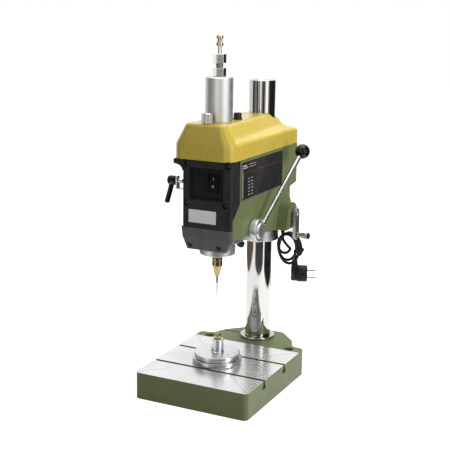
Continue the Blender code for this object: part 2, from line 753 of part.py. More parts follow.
def fixture():
    centre = (FIXTURE_X, FIXTURE_Y, 0)
    low = BASE_HEIGHT + GAP
    base_top = low + FIXTURE_BASE_HEIGHT
    groove = FIXTURE_RADIUS - FIXTURE_LID_RADIUS
    turned("fixture_base", [
        (0, base_top), (FIXTURE_LID_RADIUS - groove, base_top), (FIXTURE_LID_RADIUS - groove, base_top - groove / 2),
        (FIXTURE_RADIUS, base_top - groove / 2), (FIXTURE_RADIUS, low), (0, low)], centre, ALUMINIUM)
    lid_low = base_top + GAP
    lid_top = lid_low + FIXTURE_LID_HEIGHT
    edge = FIXTURE_LID_HEIGHT / 6
    turned("fixture_lid", [
        (0, lid_top), (FIXTURE_LID_RADIUS - edge, lid_top), (FIXTURE_LID_RADIUS, lid_top - edge),
        (FIXTURE_LID_RADIUS, lid_low), (0, lid_low)], centre, ALUMINIUM)
    post_low = lid_top + GAP
    post_top = post_low + FIXTURE_POST_HEIGHT
    turned("fixture_post", [
        (0, post_top), (FIXTURE_POST_RADIUS - edge, post_top), (FIXTURE_POST_RADIUS, post_top - edge),
        (FIXTURE_POST_RADIUS, post_low + edge), (FIXTURE_STEM_RADIUS, post_low), (0, post_low)],
        centre, ALUMINIUM)
    tip_low = post_top + GAP
    tip_top = tip_low + FIXTURE_TIP_HEIGHT
    crown = []
    for step in range(CORNER_STEPS + 1):
        angle = math.pi / 2 * step / CORNER_STEPS
        crown.append((FIXTURE_TIP_RADIUS * math.sin(angle),
                      tip_top - FIXTURE_TIP_RADIUS / 2 * (1 - math.cos(angle))))
    turned("fixture_brass_tip", crown + [(FIXTURE_TIP_RADIUS, tip_low), (0, tip_low)], centre, BRASS,
           sides=SMALL_SIDES)


def side_profile():
    return [
        (CHEEK_FRONT, HEAD_BOTTOM_FRONT), (HEAD_BOTTOM_BEND_Y, HEAD_BOTTOM_FRONT),
        (HEAD_BOTTOM_MIDDLE_Y, HEAD_BOTTOM_MIDDLE), (HEAD_BOTTOM_REAR_Y, HEAD_BOTTOM_REAR),
        (HEAD_STEP_Y, HEAD_BOTTOM_REAR), (HEAD_STEP_Y, HEAD_STEP_LOW), (HEAD_REAR, HEAD_STEP_HIGH),
        (HEAD_REAR, HEAD_TOP), (HEAD_FRONT, HEAD_TOP), (HEAD_FRONT, CHEEK_TOP_REAR),
        (CHEEK_FRONT, CHEEK_TOP_FRONT)]


def lip_outline(inner):
    """The lip that carries the cover on the left, seen from the front, with its hollow lower curve."""
    outline = [(inner, LIP_LOW - LIP_CURVE)]
    for step in range(CORNER_STEPS + 1):
        angle = math.pi / 2 * step / CORNER_STEPS
        outline.append((HEAD_LEFT - (HEAD_LEFT - LIP_LEFT - LIP_INSET) * (1 - math.cos(angle)),
                        LIP_LOW - LIP_CURVE + LIP_CURVE * math.sin(angle)))
    outline.append((LIP_LEFT, LIP_LOW))
    outline.append((LIP_LEFT, HEAD_TOP))
    outline.append((inner, HEAD_TOP))
    return outline


def cheek_room():
    """The room that the front pieces leave for the cheeks, by which the green casting reaches under them."""
    return [
        (CHEEK_FRONT - GAP, HEAD_BOTTOM_FRONT - GAP), (HEAD_FRONT + OVERRUN, HEAD_BOTTOM_FRONT - GAP),
        (HEAD_FRONT + OVERRUN, CHEEK_TOP_REAR + GAP), (HEAD_FRONT - GAP, CHEEK_TOP_REAR + GAP),
        (CHEEK_FRONT - GAP, CHEEK_TOP_FRONT + GAP)]


def head_castings():
    housing = plate("head_housing", side_profile(), "X", HEAD_LEFT, HEAD_RIGHT, GREEN, smooth=False)
    arch = [(BOSS_FOOT_FRONT_Y, BOSS_FOOT_Z)]
    arch.append((BOSS_FOOT_REAR_Y, BOSS_FOOT_Z))
    for step in range(2 * CORNER_STEPS + 1):
        angle = math.pi * step / (2 * CORNER_STEPS)
        arch.append((BOSS_ARCH_Y + BOSS_ARCH_RADIUS * math.cos(angle),
                     BOSS_ARCH_Z + BOSS_ARCH_RADIUS * math.sin(angle)))
    fuse(housing, plate("crank_boss", arch, "X", HEAD_RIGHT - HEAD_WALL / 2, BOSS_FACE_X))
    seam = HEAD_STEP_Y - HEAD_WALL / 2
    rear_side = [(seam, HEAD_BOTTOM_REAR + GAP), (REAR_BOX_REAR, HEAD_BOTTOM_REAR + GAP),
                 (REAR_BOX_REAR, REAR_BOX_SHOULDER), (REAR_BOX_BACK, REAR_BOX_SLOPE_TOP),
                 (REAR_BOX_BACK, HEAD_STEP_HIGH + GAP), (seam, HEAD_STEP_HIGH + GAP)]
    fuse(housing, plate("rear_box", rear_side, "X", HEAD_LEFT + GAP, REAR_BOX_RIGHT))
    fuse(housing, plate("housing_lip", lip_outline(HEAD_LEFT + HEAD_WALL / 2), "Y", HEAD_FRONT, HEAD_REAR))
    left = HEAD_LEFT + HEAD_WALL
    right = HEAD_RIGHT - HEAD_WALL
    floor = HEAD_STEP_HIGH + HEAD_WALL
    below = HEAD_BOTTOM_REAR - OVERRUN
    above = HEAD_TOP + OVERRUN
    ahead = CHEEK_FRONT - OVERRUN
    hollow = plate("head_hollow", [
        (ahead, below), (HEAD_STEP_Y - HEAD_WALL, below), (HEAD_STEP_Y - HEAD_WALL, floor),
        (HEAD_REAR - HEAD_WALL, floor), (HEAD_REAR - HEAD_WALL, above), (ahead, above)],
        "X", left, right)
    rear_hollow = box("rear_hollow", (left, seam - HEAD_WALL, below),
                      (REAR_BOX_RIGHT - HEAD_WALL, REAR_BOX_BACK - HEAD_WALL, floor + OVERRUN))
    crank_hole = rod("crank_hole", (right - OVERRUN, CRANK_Y, CRANK_Z), (BOSS_FACE_X + OVERRUN, CRANK_Y, CRANK_Z),
                     CRANK_SHAFT_RADIUS + RUNNING_GAP, sides=SMALL_SIDES)
    feed_hole = rod("feed_hole", (right - OVERRUN, FEED_Y, FEED_Z), (HEAD_RIGHT + OVERRUN, FEED_Y, FEED_Z),
                    FEED_SHAFT_RADIUS + RUNNING_GAP, sides=SMALL_SIDES)
    gland_hole = rod("gland_hole", (GLAND_X, GLAND_Y, GLAND_BOTTOM), (GLAND_X, GLAND_Y, GLAND_TOP + GAP),
                     GLAND_RADIUS + GAP, sides=SMALL_SIDES)
    cut(housing, crank_hole, feed_hole, gland_hole, hollow, rear_hollow)

    mid_x = (HEAD_LEFT + HEAD_RIGHT) / 2
    half_inside = (HEAD_RIGHT - HEAD_LEFT) / 2 - HEAD_WALL - GAP
    outline = [
        (HEAD_LEFT, FRAME_FRONT), (HEAD_RIGHT, FRAME_FRONT), (HEAD_RIGHT, FRAME_SIDE_BEND_Y),
        (mid_x + half_inside, FRAME_SIDE_BEND_Y), (mid_x + half_inside, FRAME_REAR),
        (mid_x - half_inside, FRAME_REAR), (mid_x - half_inside, FRAME_SIDE_BEND_Y),
        (HEAD_LEFT, FRAME_SIDE_BEND_Y)]
    frame = plate("head_frame", outline, "Z", FRAME_PLATE_LOW, FRAME_PLATE_HIGH, ALUMINIUM)
    at_column = (0, COLUMN_Y, 0)
    neck = turned("neck", [(0, QUILL_TUBE_TOP), (QUILL_TUBE_RADIUS, QUILL_TUBE_TOP),
                           (QUILL_TUBE_RADIUS, FRAME_PLATE_HIGH + GAP), (NECK_RADIUS, FRAME_PLATE_HIGH - GAP),
                           (NECK_RADIUS, NECK_BOTTOM), (0, NECK_BOTTOM)], (0, 0, 0))
    collar_top = HEAD_BOTTOM_REAR - GAP
    sleeve = turned("sleeve", [(0, SLEEVE_TOP), (SLEEVE_UPPER_RADIUS, SLEEVE_TOP), (SLEEVE_UPPER_RADIUS, collar_top),
                               (SLEEVE_RADIUS, collar_top), (SLEEVE_RADIUS, SLEEVE_BOTTOM),
                               (0, SLEEVE_BOTTOM)], at_column)
    bearing_front = COLUMN_Y - HOIST_HALF_WIDTH - RUNNING_GAP
    bearing_nose = bearing_front - HOIST_BEARING
    lug = box("gear_lug", (0, bearing_nose, FRAME_PLATE_LOW + GAP),
              (GEAR_LUG_X, HOIST_SHAFT_REAR + RUNNING_GAP + OVERRUN, GEAR_LUG_TOP))
    fuse(frame, neck, sleeve, lug)
    quill_bore = rod("quill_bore", (0, 0, NECK_BOTTOM - OVERRUN), (0, 0, QUILL_TUBE_TOP + OVERRUN),
                     QUILL_RADIUS + RUNNING_GAP)
    column_bore = rod("sleeve_bore", (0, COLUMN_Y, SLEEVE_BOTTOM - OVERRUN), (0, COLUMN_Y, SLEEVE_TOP + OVERRUN),
                      COLUMN_RADIUS + RUNNING_GAP)
    gear_reach = FEED_PITCH_RADIUS + 2 * QUILL_RACK_MODULE
    feed_window = box("feed_window", (-FEED_GEAR_HALF_WIDTH - OVERRUN, QUILL_RADIUS / 2, FEED_Z - gear_reach),
                      (FEED_GEAR_HALF_WIDTH + OVERRUN, FEED_Y + gear_reach, QUILL_TUBE_TOP + OVERRUN))
    hoist_reach = HOIST_PITCH_RADIUS + 2 * RACK_MODULE
    mitre_reach = MITRE_RADIUS + RACK_MODULE
    pinion_window = box("pinion_window", (COLUMN_RADIUS - OVERRUN, bearing_front, CRANK_Z - hoist_reach),
                        (GEAR_LUG_X + OVERRUN, COLUMN_Y + HOIST_HALF_WIDTH + RUNNING_GAP,
                         CRANK_Z + hoist_reach))
    mitre_window = box("mitre_window", (COLUMN_RADIUS / 2, COLUMN_Y - SLEEVE_RADIUS, CRANK_Z - mitre_reach),
                       (GEAR_LUG_X, bearing_nose - GAP, CRANK_Z + mitre_reach))
    shaft_hole = rod("hoist_hole", (hoist_x(), CRANK_Y, CRANK_Z), (hoist_x(), HOIST_SHAFT_REAR + RUNNING_GAP, CRANK_Z),
                     HOIST_SHAFT_RADIUS + RUNNING_GAP, sides=SMALL_SIDES)
    lock_start, lock_end, lock_axis = lock_line()
    lock_hole = rod("lock_hole", lock_start - lock_axis * GAP, lock_end,
                    LOCK_SHANK_RADIUS + RUNNING_GAP, sides=SMALL_SIDES)
    cut(frame, feed_window, pinion_window, mitre_window, shaft_hole, lock_hole, quill_bore, column_bore)

    bridge_outline = rectangle(left + GAP, -QUILL_TUBE_RADIUS, right - GAP, MOTOR_Y + MOTOR_RADIUS, PLATE_CORNER)
    bridge = plate("motor_plate", bridge_outline, "Z", BRIDGE_LOW, BRIDGE_HIGH, STEEL)
    ring = rod("pulley_bearing", (0, 0, BRIDGE_LOW), (0, 0, PULLEY_LOW - RUNNING_GAP), BRIDGE_BEARING_RADIUS)
    bore = rod("pulley_bearing_bore", (0, 0, BRIDGE_LOW - OVERRUN), (0, 0, PULLEY_LOW + OVERRUN),
               SPINDLE_RADIUS + RUNNING_GAP, sides=SMALL_SIDES)
    motor_bore = rod("motor_bore", (0, MOTOR_Y, BRIDGE_LOW - OVERRUN), (0, MOTOR_Y, BRIDGE_HIGH + OVERRUN),
                     MOTOR_SHAFT_RADIUS + RUNNING_GAP, sides=SMALL_SIDES)
    fuse(bridge, ring)
    cut(bridge, bore, motor_bore)


def front():
    outline = rounded([
        (HEAD_LEFT, HEAD_FRONT - GAP, 0), (HEAD_LEFT, PANEL_FRONT, PANEL_CORNER / 2),
        (HEAD_RIGHT, PANEL_FRONT, PANEL_CORNER), (HEAD_RIGHT, HEAD_FRONT - GAP, 0)])
    panel = plate("front_panel", outline, "Z", PANEL_BOTTOM, HEAD_TOP, BLACK)
    fuse(panel, plate("panel_lip", lip_outline(HEAD_LEFT + PANEL_WALL / 2), "Y", PANEL_FRONT + LIP_INSET,
                      HEAD_FRONT - GAP))
    hollow = box("panel_hollow", (HEAD_LEFT + PANEL_WALL, PANEL_FRONT + PANEL_WALL, PANEL_BOTTOM - OVERRUN),
                 (HEAD_RIGHT - PANEL_WALL, HEAD_FRONT + OVERRUN, HEAD_TOP + OVERRUN))
    opening = plate("switch_opening", rectangle(SWITCH_LEFT - GAP, SWITCH_LOW - GAP, SWITCH_RIGHT + GAP,
                                                SWITCH_HIGH + GAP, PLATE_CORNER),
                    "Y", PANEL_FRONT - OVERRUN, PANEL_FRONT + PANEL_WALL + OVERRUN)
    stud_hole = rod("stud_hole", (HEAD_LEFT - OVERRUN, STUD_Y, STUD_Z),
                    (HEAD_LEFT + PANEL_WALL + OVERRUN, STUD_Y, STUD_Z), STUD_RADIUS + RUNNING_GAP,
                    sides=SMALL_SIDES)
    notch = plate("panel_notch", cheek_room(), "X", HEAD_LEFT - OVERRUN, HEAD_RIGHT + OVERRUN)
    cut(panel, hollow, opening, stud_hole, notch)
    frame = plate("switch_frame", rectangle(SWITCH_LEFT, SWITCH_LOW, SWITCH_RIGHT, SWITCH_HIGH, PLATE_CORNER),
                  "Y", PANEL_FRONT, PANEL_FRONT + SWITCH_DEPTH, GREY)
    pocket = box("switch_pocket", (SWITCH_LEFT + SWITCH_WALL, PANEL_FRONT - OVERRUN, SWITCH_LOW + SWITCH_WALL),
                 (SWITCH_RIGHT - SWITCH_WALL, PANEL_FRONT + SWITCH_WALL, SWITCH_HIGH - SWITCH_WALL))
    swing = math.hypot(ROCKER_HALF_HEIGHT, ROCKER_DEPTH / 2) + RUNNING_GAP
    rocker_y = PANEL_FRONT + SWITCH_WALL
    seat = box("rocker_seat",
               (ROCKER_X - ROCKER_HALF_WIDTH - RUNNING_GAP, rocker_y - OVERRUN, ROCKER_Z - swing),
               (ROCKER_X + ROCKER_HALF_WIDTH + RUNNING_GAP, PANEL_FRONT + SWITCH_DEPTH + OVERRUN, ROCKER_Z + swing))
    cut(frame, pocket, seat)
    rocker = plate("rocker", rectangle(rocker_y - ROCKER_PROUD, ROCKER_Z - ROCKER_HALF_HEIGHT,
                                       rocker_y - ROCKER_PROUD + ROCKER_DEPTH, ROCKER_Z + ROCKER_HALF_HEIGHT,
                                       PLATE_CORNER / 2),
                   "X", ROCKER_X - ROCKER_HALF_WIDTH, ROCKER_X + ROCKER_HALF_WIDTH, BLACK)
    pivot = Vector((ROCKER_X, rocker_y, ROCKER_Z))
    tilt = Matrix.Translation(pivot) @ Matrix.Rotation(-ROCKER_TILT, 4, "X") @ Matrix.Translation(-pivot)
    rocker.data.transform(tilt)
    joint("rocker_pivot", pivot, rocker)
    plate("label_plate", rectangle(LABEL_LEFT, LABEL_LOW, LABEL_RIGHT, LABEL_HIGH, PLATE_CORNER / 4), "Y",
          PANEL_FRONT - GAP - PLATE_THICKNESS, PANEL_FRONT - GAP, WHITE)
    plate("speed_plate", rectangle(SPEED_PLATE_FRONT, SPEED_PLATE_LOW, SPEED_PLATE_REAR, SPEED_PLATE_HIGH,
                                   PLATE_CORNER), "X", HEAD_RIGHT + GAP, HEAD_RIGHT + GAP + PLATE_THICKNESS, BLACK)

    def chin_ring(z, left, right, face, inset):
        corner = PANEL_CORNER / 2
        ring = rounded([(left + inset, CHIN_REAR + min(inset, 0), 0), (left + inset, face + inset, corner),
                        (right - inset, face + inset, corner), (right - inset, CHIN_REAR + min(inset, 0), 0)])
        return [(x, y, z) for x, y in ring]

    top = PANEL_BOTTOM - GAP
    drop = HEAD_BOTTOM_FRONT - GAP
    chin = loft("chin_cover", [
        chin_ring(CHIN_BOTTOM, CHIN_BOTTOM_LEFT, CHIN_BOTTOM_RIGHT, CHIN_BOTTOM_FRONT, 0),
        chin_ring(drop, CHIN_LEFT, HEAD_RIGHT, PANEL_FRONT + PANEL_WALL, 0),
        chin_ring(top, CHIN_LEFT, HEAD_RIGHT, PANEL_FRONT, 0)], GREY)
    notch = plate("chin_notch", cheek_room(), "X", CHIN_LEFT - OVERRUN, HEAD_RIGHT + OVERRUN)
    room = box("chin_hollow", (HEAD_LEFT + PANEL_WALL, PANEL_FRONT + 2 * PANEL_WALL, HEAD_BOTTOM_FRONT),
               (HEAD_RIGHT - PANEL_WALL, HEAD_FRONT + OVERRUN, PANEL_BOTTOM + OVERRUN))
    relief = rod("chin_relief", (0, 0, NECK_BOTTOM), (0, 0, HEAD_BOTTOM_FRONT + OVERRUN),
                 NECK_RADIUS + GAP)
    cut(chin, room, relief, notch)


def quill_and_spindle():
    quill = turned("quill", [
        (QUILL_BORE, QUILL_TOP), (QUILL_RADIUS, QUILL_TOP), (QUILL_RADIUS, QUILL_BOTTOM),
        (QUILL_BORE, QUILL_BOTTOM), (QUILL_BORE, QUILL_TOP)], (0, 0, 0), STEEL)
    half = QUILL_RACK_HALF_WIDTH
    tip = FEED_Y - FEED_PITCH_RADIUS + QUILL_RACK_MODULE
    pitch = math.pi * QUILL_RACK_MODULE
    rack_low = FEED_Z - QUILL_RACK_TEETH_BELOW * pitch - pitch / 2
    slot_top = rack_low + (QUILL_RACK_TEETH + 1) * pitch
    flat = box("quill_flat", (-half, tip - 2 * QUILL_RACK_MODULE - GAP, rack_low),
               (half, QUILL_RADIUS + OVERRUN, slot_top))
    cut(quill, flat)
    fuse(quill, rack("quill_rack", "X", (-half, half), QUILL_BORE + 2 * GAP, tip, rack_low,
                     QUILL_RACK_TEETH, QUILL_RACK_MODULE))
    inner = SPINDLE_RADIUS + GAP
    outer = QUILL_BORE - GAP
    bearings = []
    for name, low in (("lower_bearing", QUILL_BOTTOM), ("upper_bearing", QUILL_TOP - BEARING_LENGTH)):
        high = low + BEARING_LENGTH
        bearings.append(turned(name, [(inner, high), (outer, high), (outer, low), (inner, low), (inner, high)],
                               (0, 0, 0), STEEL, sides=SMALL_SIDES))
    spindle = turned("spindle", [
        (SPINDLE_BORE, SPINDLE_TOP), (SPINDLE_RADIUS, SPINDLE_TOP), (SPINDLE_RADIUS, SPINDLE_BOTTOM),
        (SPINDLE_BORE, SPINDLE_BOTTOM), (SPINDLE_BORE, SPINDLE_TOP)], (0, 0, 0), STEEL, sides=SMALL_SIDES)
    ridge = RIDGE_DEPTH
    nozzle = turned("nozzle_nut", [
        (0, NOZZLE_TOP), (NOZZLE_RADIUS, NOZZLE_TOP), (NOZZLE_RADIUS, NOZZLE_SHOULDER + 2 * ridge),
        (NOZZLE_RADIUS - ridge, NOZZLE_SHOULDER), (NOZZLE_TIP_RADIUS, NOZZLE_BOTTOM), (0, NOZZLE_BOTTOM)],
        (0, 0, 0), BRASS)
    pipe = rod("drill_tube", (0, 0, DRILL_TUBE_BOTTOM), (0, 0, NOZZLE_BOTTOM - GAP), DRILL_TUBE_RADIUS, STEEL,
               sides=SMALL_SIDES)
    needle = rod("drill_needle", (0, 0, NEEDLE_BOTTOM), (0, 0, DRILL_TUBE_BOTTOM - GAP), NEEDLE_RADIUS, STEEL,
                 sides=SMALL_SIDES)
    slide = joint("quill_slide", (0, 0, QUILL_BOTTOM), quill, *bearings)
    turning = joint("spindle_axis", (0, 0, SPINDLE_BOTTOM), spindle, nozzle, pipe, needle)
    turning.parent = slide
    turning.matrix_parent_inverse = Matrix.Translation((0, 0, QUILL_BOTTOM)).inverted()


def pulley(name, y, radius, bore, paint_used):
    middle = (PULLEY_LOW + PULLEY_HIGH) / 2
    half = BELT_HALF_HEIGHT + RUNNING_GAP
    waist = radius - PULLEY_GROOVE
    return turned(name, [
        (bore, PULLEY_HIGH), (radius, PULLEY_HIGH), (radius, middle + half), (waist, middle + half),
        (waist, middle - half), (radius, middle - half), (radius, PULLEY_LOW), (bore, PULLEY_LOW),
        (bore, PULLEY_HIGH)], (0, y, 0), paint_used)


def belt_loop(grow):
    small = MOTOR_PULLEY_RADIUS - PULLEY_GROOVE + grow
    large = SPINDLE_PULLEY_RADIUS - PULLEY_GROOVE + grow
    lean = math.asin((large - small) / MOTOR_Y)
    points = []
    steps = 3 * CORNER_STEPS
    for y, radius, first, last in ((0, large, math.pi - lean, 2 * math.pi + lean), (MOTOR_Y, small, lean, math.pi - lean)):
        for step in range(steps + 1):
            angle = first + (last - first) * step / steps
            points.append((radius * math.cos(angle), y + radius * math.sin(angle)))
    return points


def drive():
    turned("motor_body", [(0, MOTOR_TOP), (MOTOR_RADIUS - HEAD_WALL, MOTOR_TOP),
                          (MOTOR_RADIUS, MOTOR_TOP - HEAD_WALL), (MOTOR_RADIUS, MOTOR_BOTTOM),
                          (0, MOTOR_BOTTOM)], (0, MOTOR_Y, 0), BLACK)
    hole = rod("rotor_room", (0, MOTOR_Y, MOTOR_SHAFT_BOTTOM - RUNNING_GAP), (0, MOTOR_Y, MOTOR_TOP + OVERRUN),
               MOTOR_SHAFT_RADIUS + RUNNING_GAP, sides=SMALL_SIDES)
    cut(bpy.data.objects["motor_body"], hole)
    shaft = rod("motor_shaft", (0, MOTOR_Y, MOTOR_SHAFT_BOTTOM), (0, MOTOR_Y, PULLEY_HIGH), MOTOR_SHAFT_RADIUS,
                STEEL, sides=SMALL_SIDES)
    small = pulley("motor_pulley", MOTOR_Y, MOTOR_PULLEY_RADIUS, MOTOR_SHAFT_RADIUS + GAP, ALUMINIUM)
    joint("motor_axis", (0, MOTOR_Y, PULLEY_LOW), shaft, small)
    large = pulley("spindle_pulley", 0, SPINDLE_PULLEY_RADIUS, SPINDLE_RADIUS + RUNNING_GAP, ALUMINIUM)
    joint("pulley_axis", (0, 0, PULLEY_LOW), large)
    middle = (PULLEY_LOW + PULLEY_HIGH) / 2
    belt = plate("drive_belt", belt_loop(GAP + BELT_THICKNESS), "Z", middle - BELT_HALF_HEIGHT,
                 middle + BELT_HALF_HEIGHT, RUBBER)
    cut(belt, plate("belt_inside", belt_loop(GAP), "Z", middle - BELT_HALF_HEIGHT - OVERRUN,
                    middle + BELT_HALF_HEIGHT + OVERRUN))


def feed():
    half = FEED_GEAR_HALF_WIDTH
    shaft = rod("feed_shaft", (-half, FEED_Y, FEED_Z), (HUB_INNER_X - GAP, FEED_Y, FEED_Z), FEED_SHAFT_RADIUS, STEEL,
                sides=SMALL_SIDES)
    outline = gear_outline((FEED_Y, FEED_Z), FEED_PITCH_RADIUS, FEED_GEAR_TEETH)
    fuse(shaft, plate("feed_gear", outline, "X", -half - GAP, half, smooth=False))
    edge = HUB_CAP_LENGTH / 3
    hub = turned("feed_hub", [
        (0, HUB_OUTER_X + HUB_CAP_LENGTH), (HUB_CAP_RADIUS - edge, HUB_OUTER_X + HUB_CAP_LENGTH),
        (HUB_CAP_RADIUS, HUB_OUTER_X), (HUB_RADIUS - edge, HUB_OUTER_X), (HUB_RADIUS, HUB_OUTER_X - edge),
        (HUB_RADIUS, HUB_INNER_X), (0, HUB_INNER_X)], (0, FEED_Y, FEED_Z), ALUMINIUM, axis="X")
    centre = Vector((ROD_START_X, FEED_Y, FEED_Z))
    ball_at = Vector((ROD_END_X, ROD_END_Y, ROD_END_Z))
    along = (ball_at - centre).normalized()
    start = centre + along * HUB_RADIUS * ROD_SOCKET_SHARE
    hole = rod("rod_hole", start - along * GAP, centre + along * (HUB_RADIUS + BALL_RADIUS), ROD_RADIUS + GAP,
               sides=SMALL_SIDES)
    cut(hub, hole)
    end = ball_at - along * (BALL_RADIUS + GAP)
    lever = rod("lever_rod", start, end, ROD_RADIUS, CHROME, sides=SMALL_SIDES)
    shape = bmesh.new()
    bmesh.ops.create_uvsphere(shape, u_segments=SMALL_SIDES, v_segments=SMALL_SIDES // 2 + 2, radius=BALL_RADIUS)
    bmesh.ops.transform(shape, matrix=Matrix.Translation(ball_at), verts=shape.verts)
    ball = keep("ball_knob", mesh_from(shape, "ball_knob"), BLACK)
    joint("feed_axis", (0, FEED_Y, FEED_Z), shaft, hub, lever, ball)


def hoist_x():
    """The pinion shaft stands off the column by its pitch radius, measured from the rack's pitch line."""
    return COLUMN_RADIUS - RACK_TIP_SINK - RACK_MODULE + HOIST_PITCH_RADIUS


def mitre(name, centre, axis, extra):
    """A mitre gear with its apex at centre, its large end MITRE_RADIUS away along +axis."""
    large = gear_outline((0, 0), MITRE_RADIUS, MITRE_TEETH, extra)
    small_share = (MITRE_RADIUS - MITRE_WIDTH) / MITRE_RADIUS
    turn = Matrix.Translation(centre) @ AXIS_TURNS[axis]
    sign = -1 if axis == "Y" else 1
    rings = []
    for share in (small_share, 1):
        height = sign * share * MITRE_RADIUS
        rings.append([turn @ Vector((u * share, v * share, height)) for u, v in large])
    if sign < 0:
        rings.reverse()
    return loft(name, rings)


def crank():
    inner_end = hoist_x() + MITRE_RADIUS - MITRE_WIDTH + GAP
    shaft = rod("crank_shaft", (inner_end, CRANK_Y, CRANK_Z), (CRANK_ARM_INNER_X - GAP, CRANK_Y, CRANK_Z),
                CRANK_SHAFT_RADIUS / 2, STEEL, sides=SMALL_SIDES)
    thick = rod("crank_journal", (hoist_x() + MITRE_RADIUS - GAP, CRANK_Y, CRANK_Z),
                (CRANK_ARM_INNER_X - 2 * GAP, CRANK_Y, CRANK_Z), CRANK_SHAFT_RADIUS, sides=SMALL_SIDES)
    apex = (hoist_x(), CRANK_Y, CRANK_Z)
    fuse(shaft, thick, mitre("crank_mitre", apex, "X", 0))
    grip_z = CRANK_Z - CRANK_THROW
    half = CRANK_ARM_WIDTH / 2
    ends = []
    for z, first in ((CRANK_Z, 0), (grip_z, math.pi)):
        for step in range(2 * CORNER_STEPS + 1):
            angle = first + math.pi * step / (2 * CORNER_STEPS)
            ends.append((CRANK_Y + half * math.cos(angle), z + half * math.sin(angle)))
    arm = plate("crank_arm", ends, "X", CRANK_ARM_INNER_X, CRANK_ARM_OUTER_X, STEEL)
    pin_end = CRANK_ARM_OUTER_X + GRIP_LENGTH
    pin = rod("grip_pin", (CRANK_ARM_OUTER_X - GAP, CRANK_Y, grip_z), (pin_end, CRANK_Y, grip_z), GRIP_PIN_RADIUS,
              sides=SMALL_SIDES)
    fuse(arm, pin)
    near = CRANK_ARM_OUTER_X + GAP
    bore = GRIP_PIN_RADIUS + RUNNING_GAP
    grip = turned("crank_grip", [
        (bore, pin_end), (GRIP_END_RADIUS, pin_end), (GRIP_START_RADIUS, near), (bore, near), (bore, pin_end)],
        (0, CRANK_Y, grip_z), CHROME, axis="X", sides=SMALL_SIDES)
    ring_start = pin_end + GAP
    cap = turned("grip_end_ring", [
        (0, ring_start + GRIP_RING_LENGTH), (GRIP_END_RADIUS - RIDGE_DEPTH, ring_start + GRIP_RING_LENGTH),
        (GRIP_END_RADIUS, ring_start), (0, ring_start)], (0, CRANK_Y, grip_z), BLACK, axis="X", sides=SMALL_SIDES)
    joint("crank_axis", (hoist_x(), CRANK_Y, CRANK_Z), shaft, arm)
    joint("grip_axis", (near, CRANK_Y, grip_z), grip, cap)

    hoist = rod("hoist_pinion", (hoist_x(), CRANK_Y + MITRE_RADIUS - MITRE_WIDTH + GAP, CRANK_Z),
                (hoist_x(), HOIST_SHAFT_REAR, CRANK_Z), HOIST_SHAFT_RADIUS / 2, STEEL, sides=SMALL_SIDES)
    journal = rod("hoist_journal", (hoist_x(), CRANK_Y + MITRE_RADIUS - GAP, CRANK_Z),
                  (hoist_x(), HOIST_SHAFT_REAR - GAP, CRANK_Z), HOIST_SHAFT_RADIUS, sides=SMALL_SIDES)
    outline = gear_outline((hoist_x(), CRANK_Z), HOIST_PITCH_RADIUS, HOIST_TEETH)
    pinion = plate("hoist_gear", outline, "Y", COLUMN_Y - HOIST_HALF_WIDTH, COLUMN_Y + HOIST_HALF_WIDTH,
                   smooth=False)
    fuse(hoist, journal, pinion, mitre("hoist_mitre", apex, "Y", math.pi / MITRE_TEETH))
    joint("hoist_axis", (hoist_x(), COLUMN_Y, CRANK_Z), hoist)


def lock_line():
    """The quill lock screw's inner end, outer shank end and outward direction."""
    outward = Vector((0, -1, -1)).normalized()
    end = Vector((LOCK_X, LOCK_Y, FRAME_PLATE_LOW))
    return end - outward * LOCK_SHANK_LENGTH / 2, end + outward * LOCK_SHANK_LENGTH, outward


def clamps():
    inner = HEAD_LEFT + PANEL_WALL + GAP
    stud = rod("clamp_stud", (inner, STUD_Y, STUD_Z), (STUD_END_X, STUD_Y, STUD_Z), STUD_RADIUS, STEEL,
               sides=SMALL_SIDES)
    hub = rod("clamp_lever", (STUD_END_X - GAP, STUD_Y, STUD_Z), (CLAMP_HUB_END_X, STUD_Y, STUD_Z),
              CLAMP_HUB_RADIUS, BLACK, sides=SMALL_SIDES)
    middle = (STUD_END_X + CLAMP_HUB_END_X) / 2
    bar = rod("clamp_bar", (middle, STUD_Y, STUD_Z), (CLAMP_TIP_X, STUD_Y, CLAMP_TIP_Z), CLAMP_BAR_RADIUS,
              end_radius=CLAMP_TIP_RADIUS, sides=SMALL_SIDES)
    fuse(hub, bar)
    joint("clamp_axis", (STUD_END_X, STUD_Y, STUD_Z), stud, hub)
    foot = BRACKET_LOW + BRACKET_THICKNESS
    wall = BRACKET_OUTER_X + BRACKET_THICKNESS
    tab = HEAD_LEFT - GAP - BRACKET_THICKNESS
    side = [(HEAD_LEFT - GAP, foot - CLAMP_HUB_RADIUS), (HEAD_LEFT - GAP, foot), (wall, foot),
            (wall, STUD_Z + CLAMP_HUB_RADIUS), (BRACKET_OUTER_X, STUD_Z + CLAMP_HUB_RADIUS),
            (BRACKET_OUTER_X, BRACKET_LOW), (tab, BRACKET_LOW), (tab, foot - CLAMP_HUB_RADIUS)]
    bracket = plate("stud_bracket", side, "Y", STUD_Y - BRACKET_HALF_WIDTH, STUD_Y + BRACKET_HALF_WIDTH, STEEL,
                    smooth=False)
    cut(bracket, rod("bracket_hole", (wall + OVERRUN, STUD_Y, STUD_Z), (BRACKET_OUTER_X - OVERRUN, STUD_Y, STUD_Z),
                     STUD_RADIUS + RUNNING_GAP, sides=SMALL_SIDES))
    start, end, outward = lock_line()
    shank = rod("lock_screw", start, end, LOCK_SHANK_RADIUS, BLACK, sides=SMALL_SIDES)
    knob = plate("lock_knob", ridged_outline((0, 0), LOCK_HEAD_RADIUS, LOCK_RIDGES), "Z", 0, LOCK_HEAD_LENGTH)
    knob.data.transform(Matrix.Translation(end - outward * GAP)
                        @ outward.to_track_quat("Z", "Y").to_matrix().to_4x4())
    fuse(shank, knob)
    joint("lock_axis", end, shank)


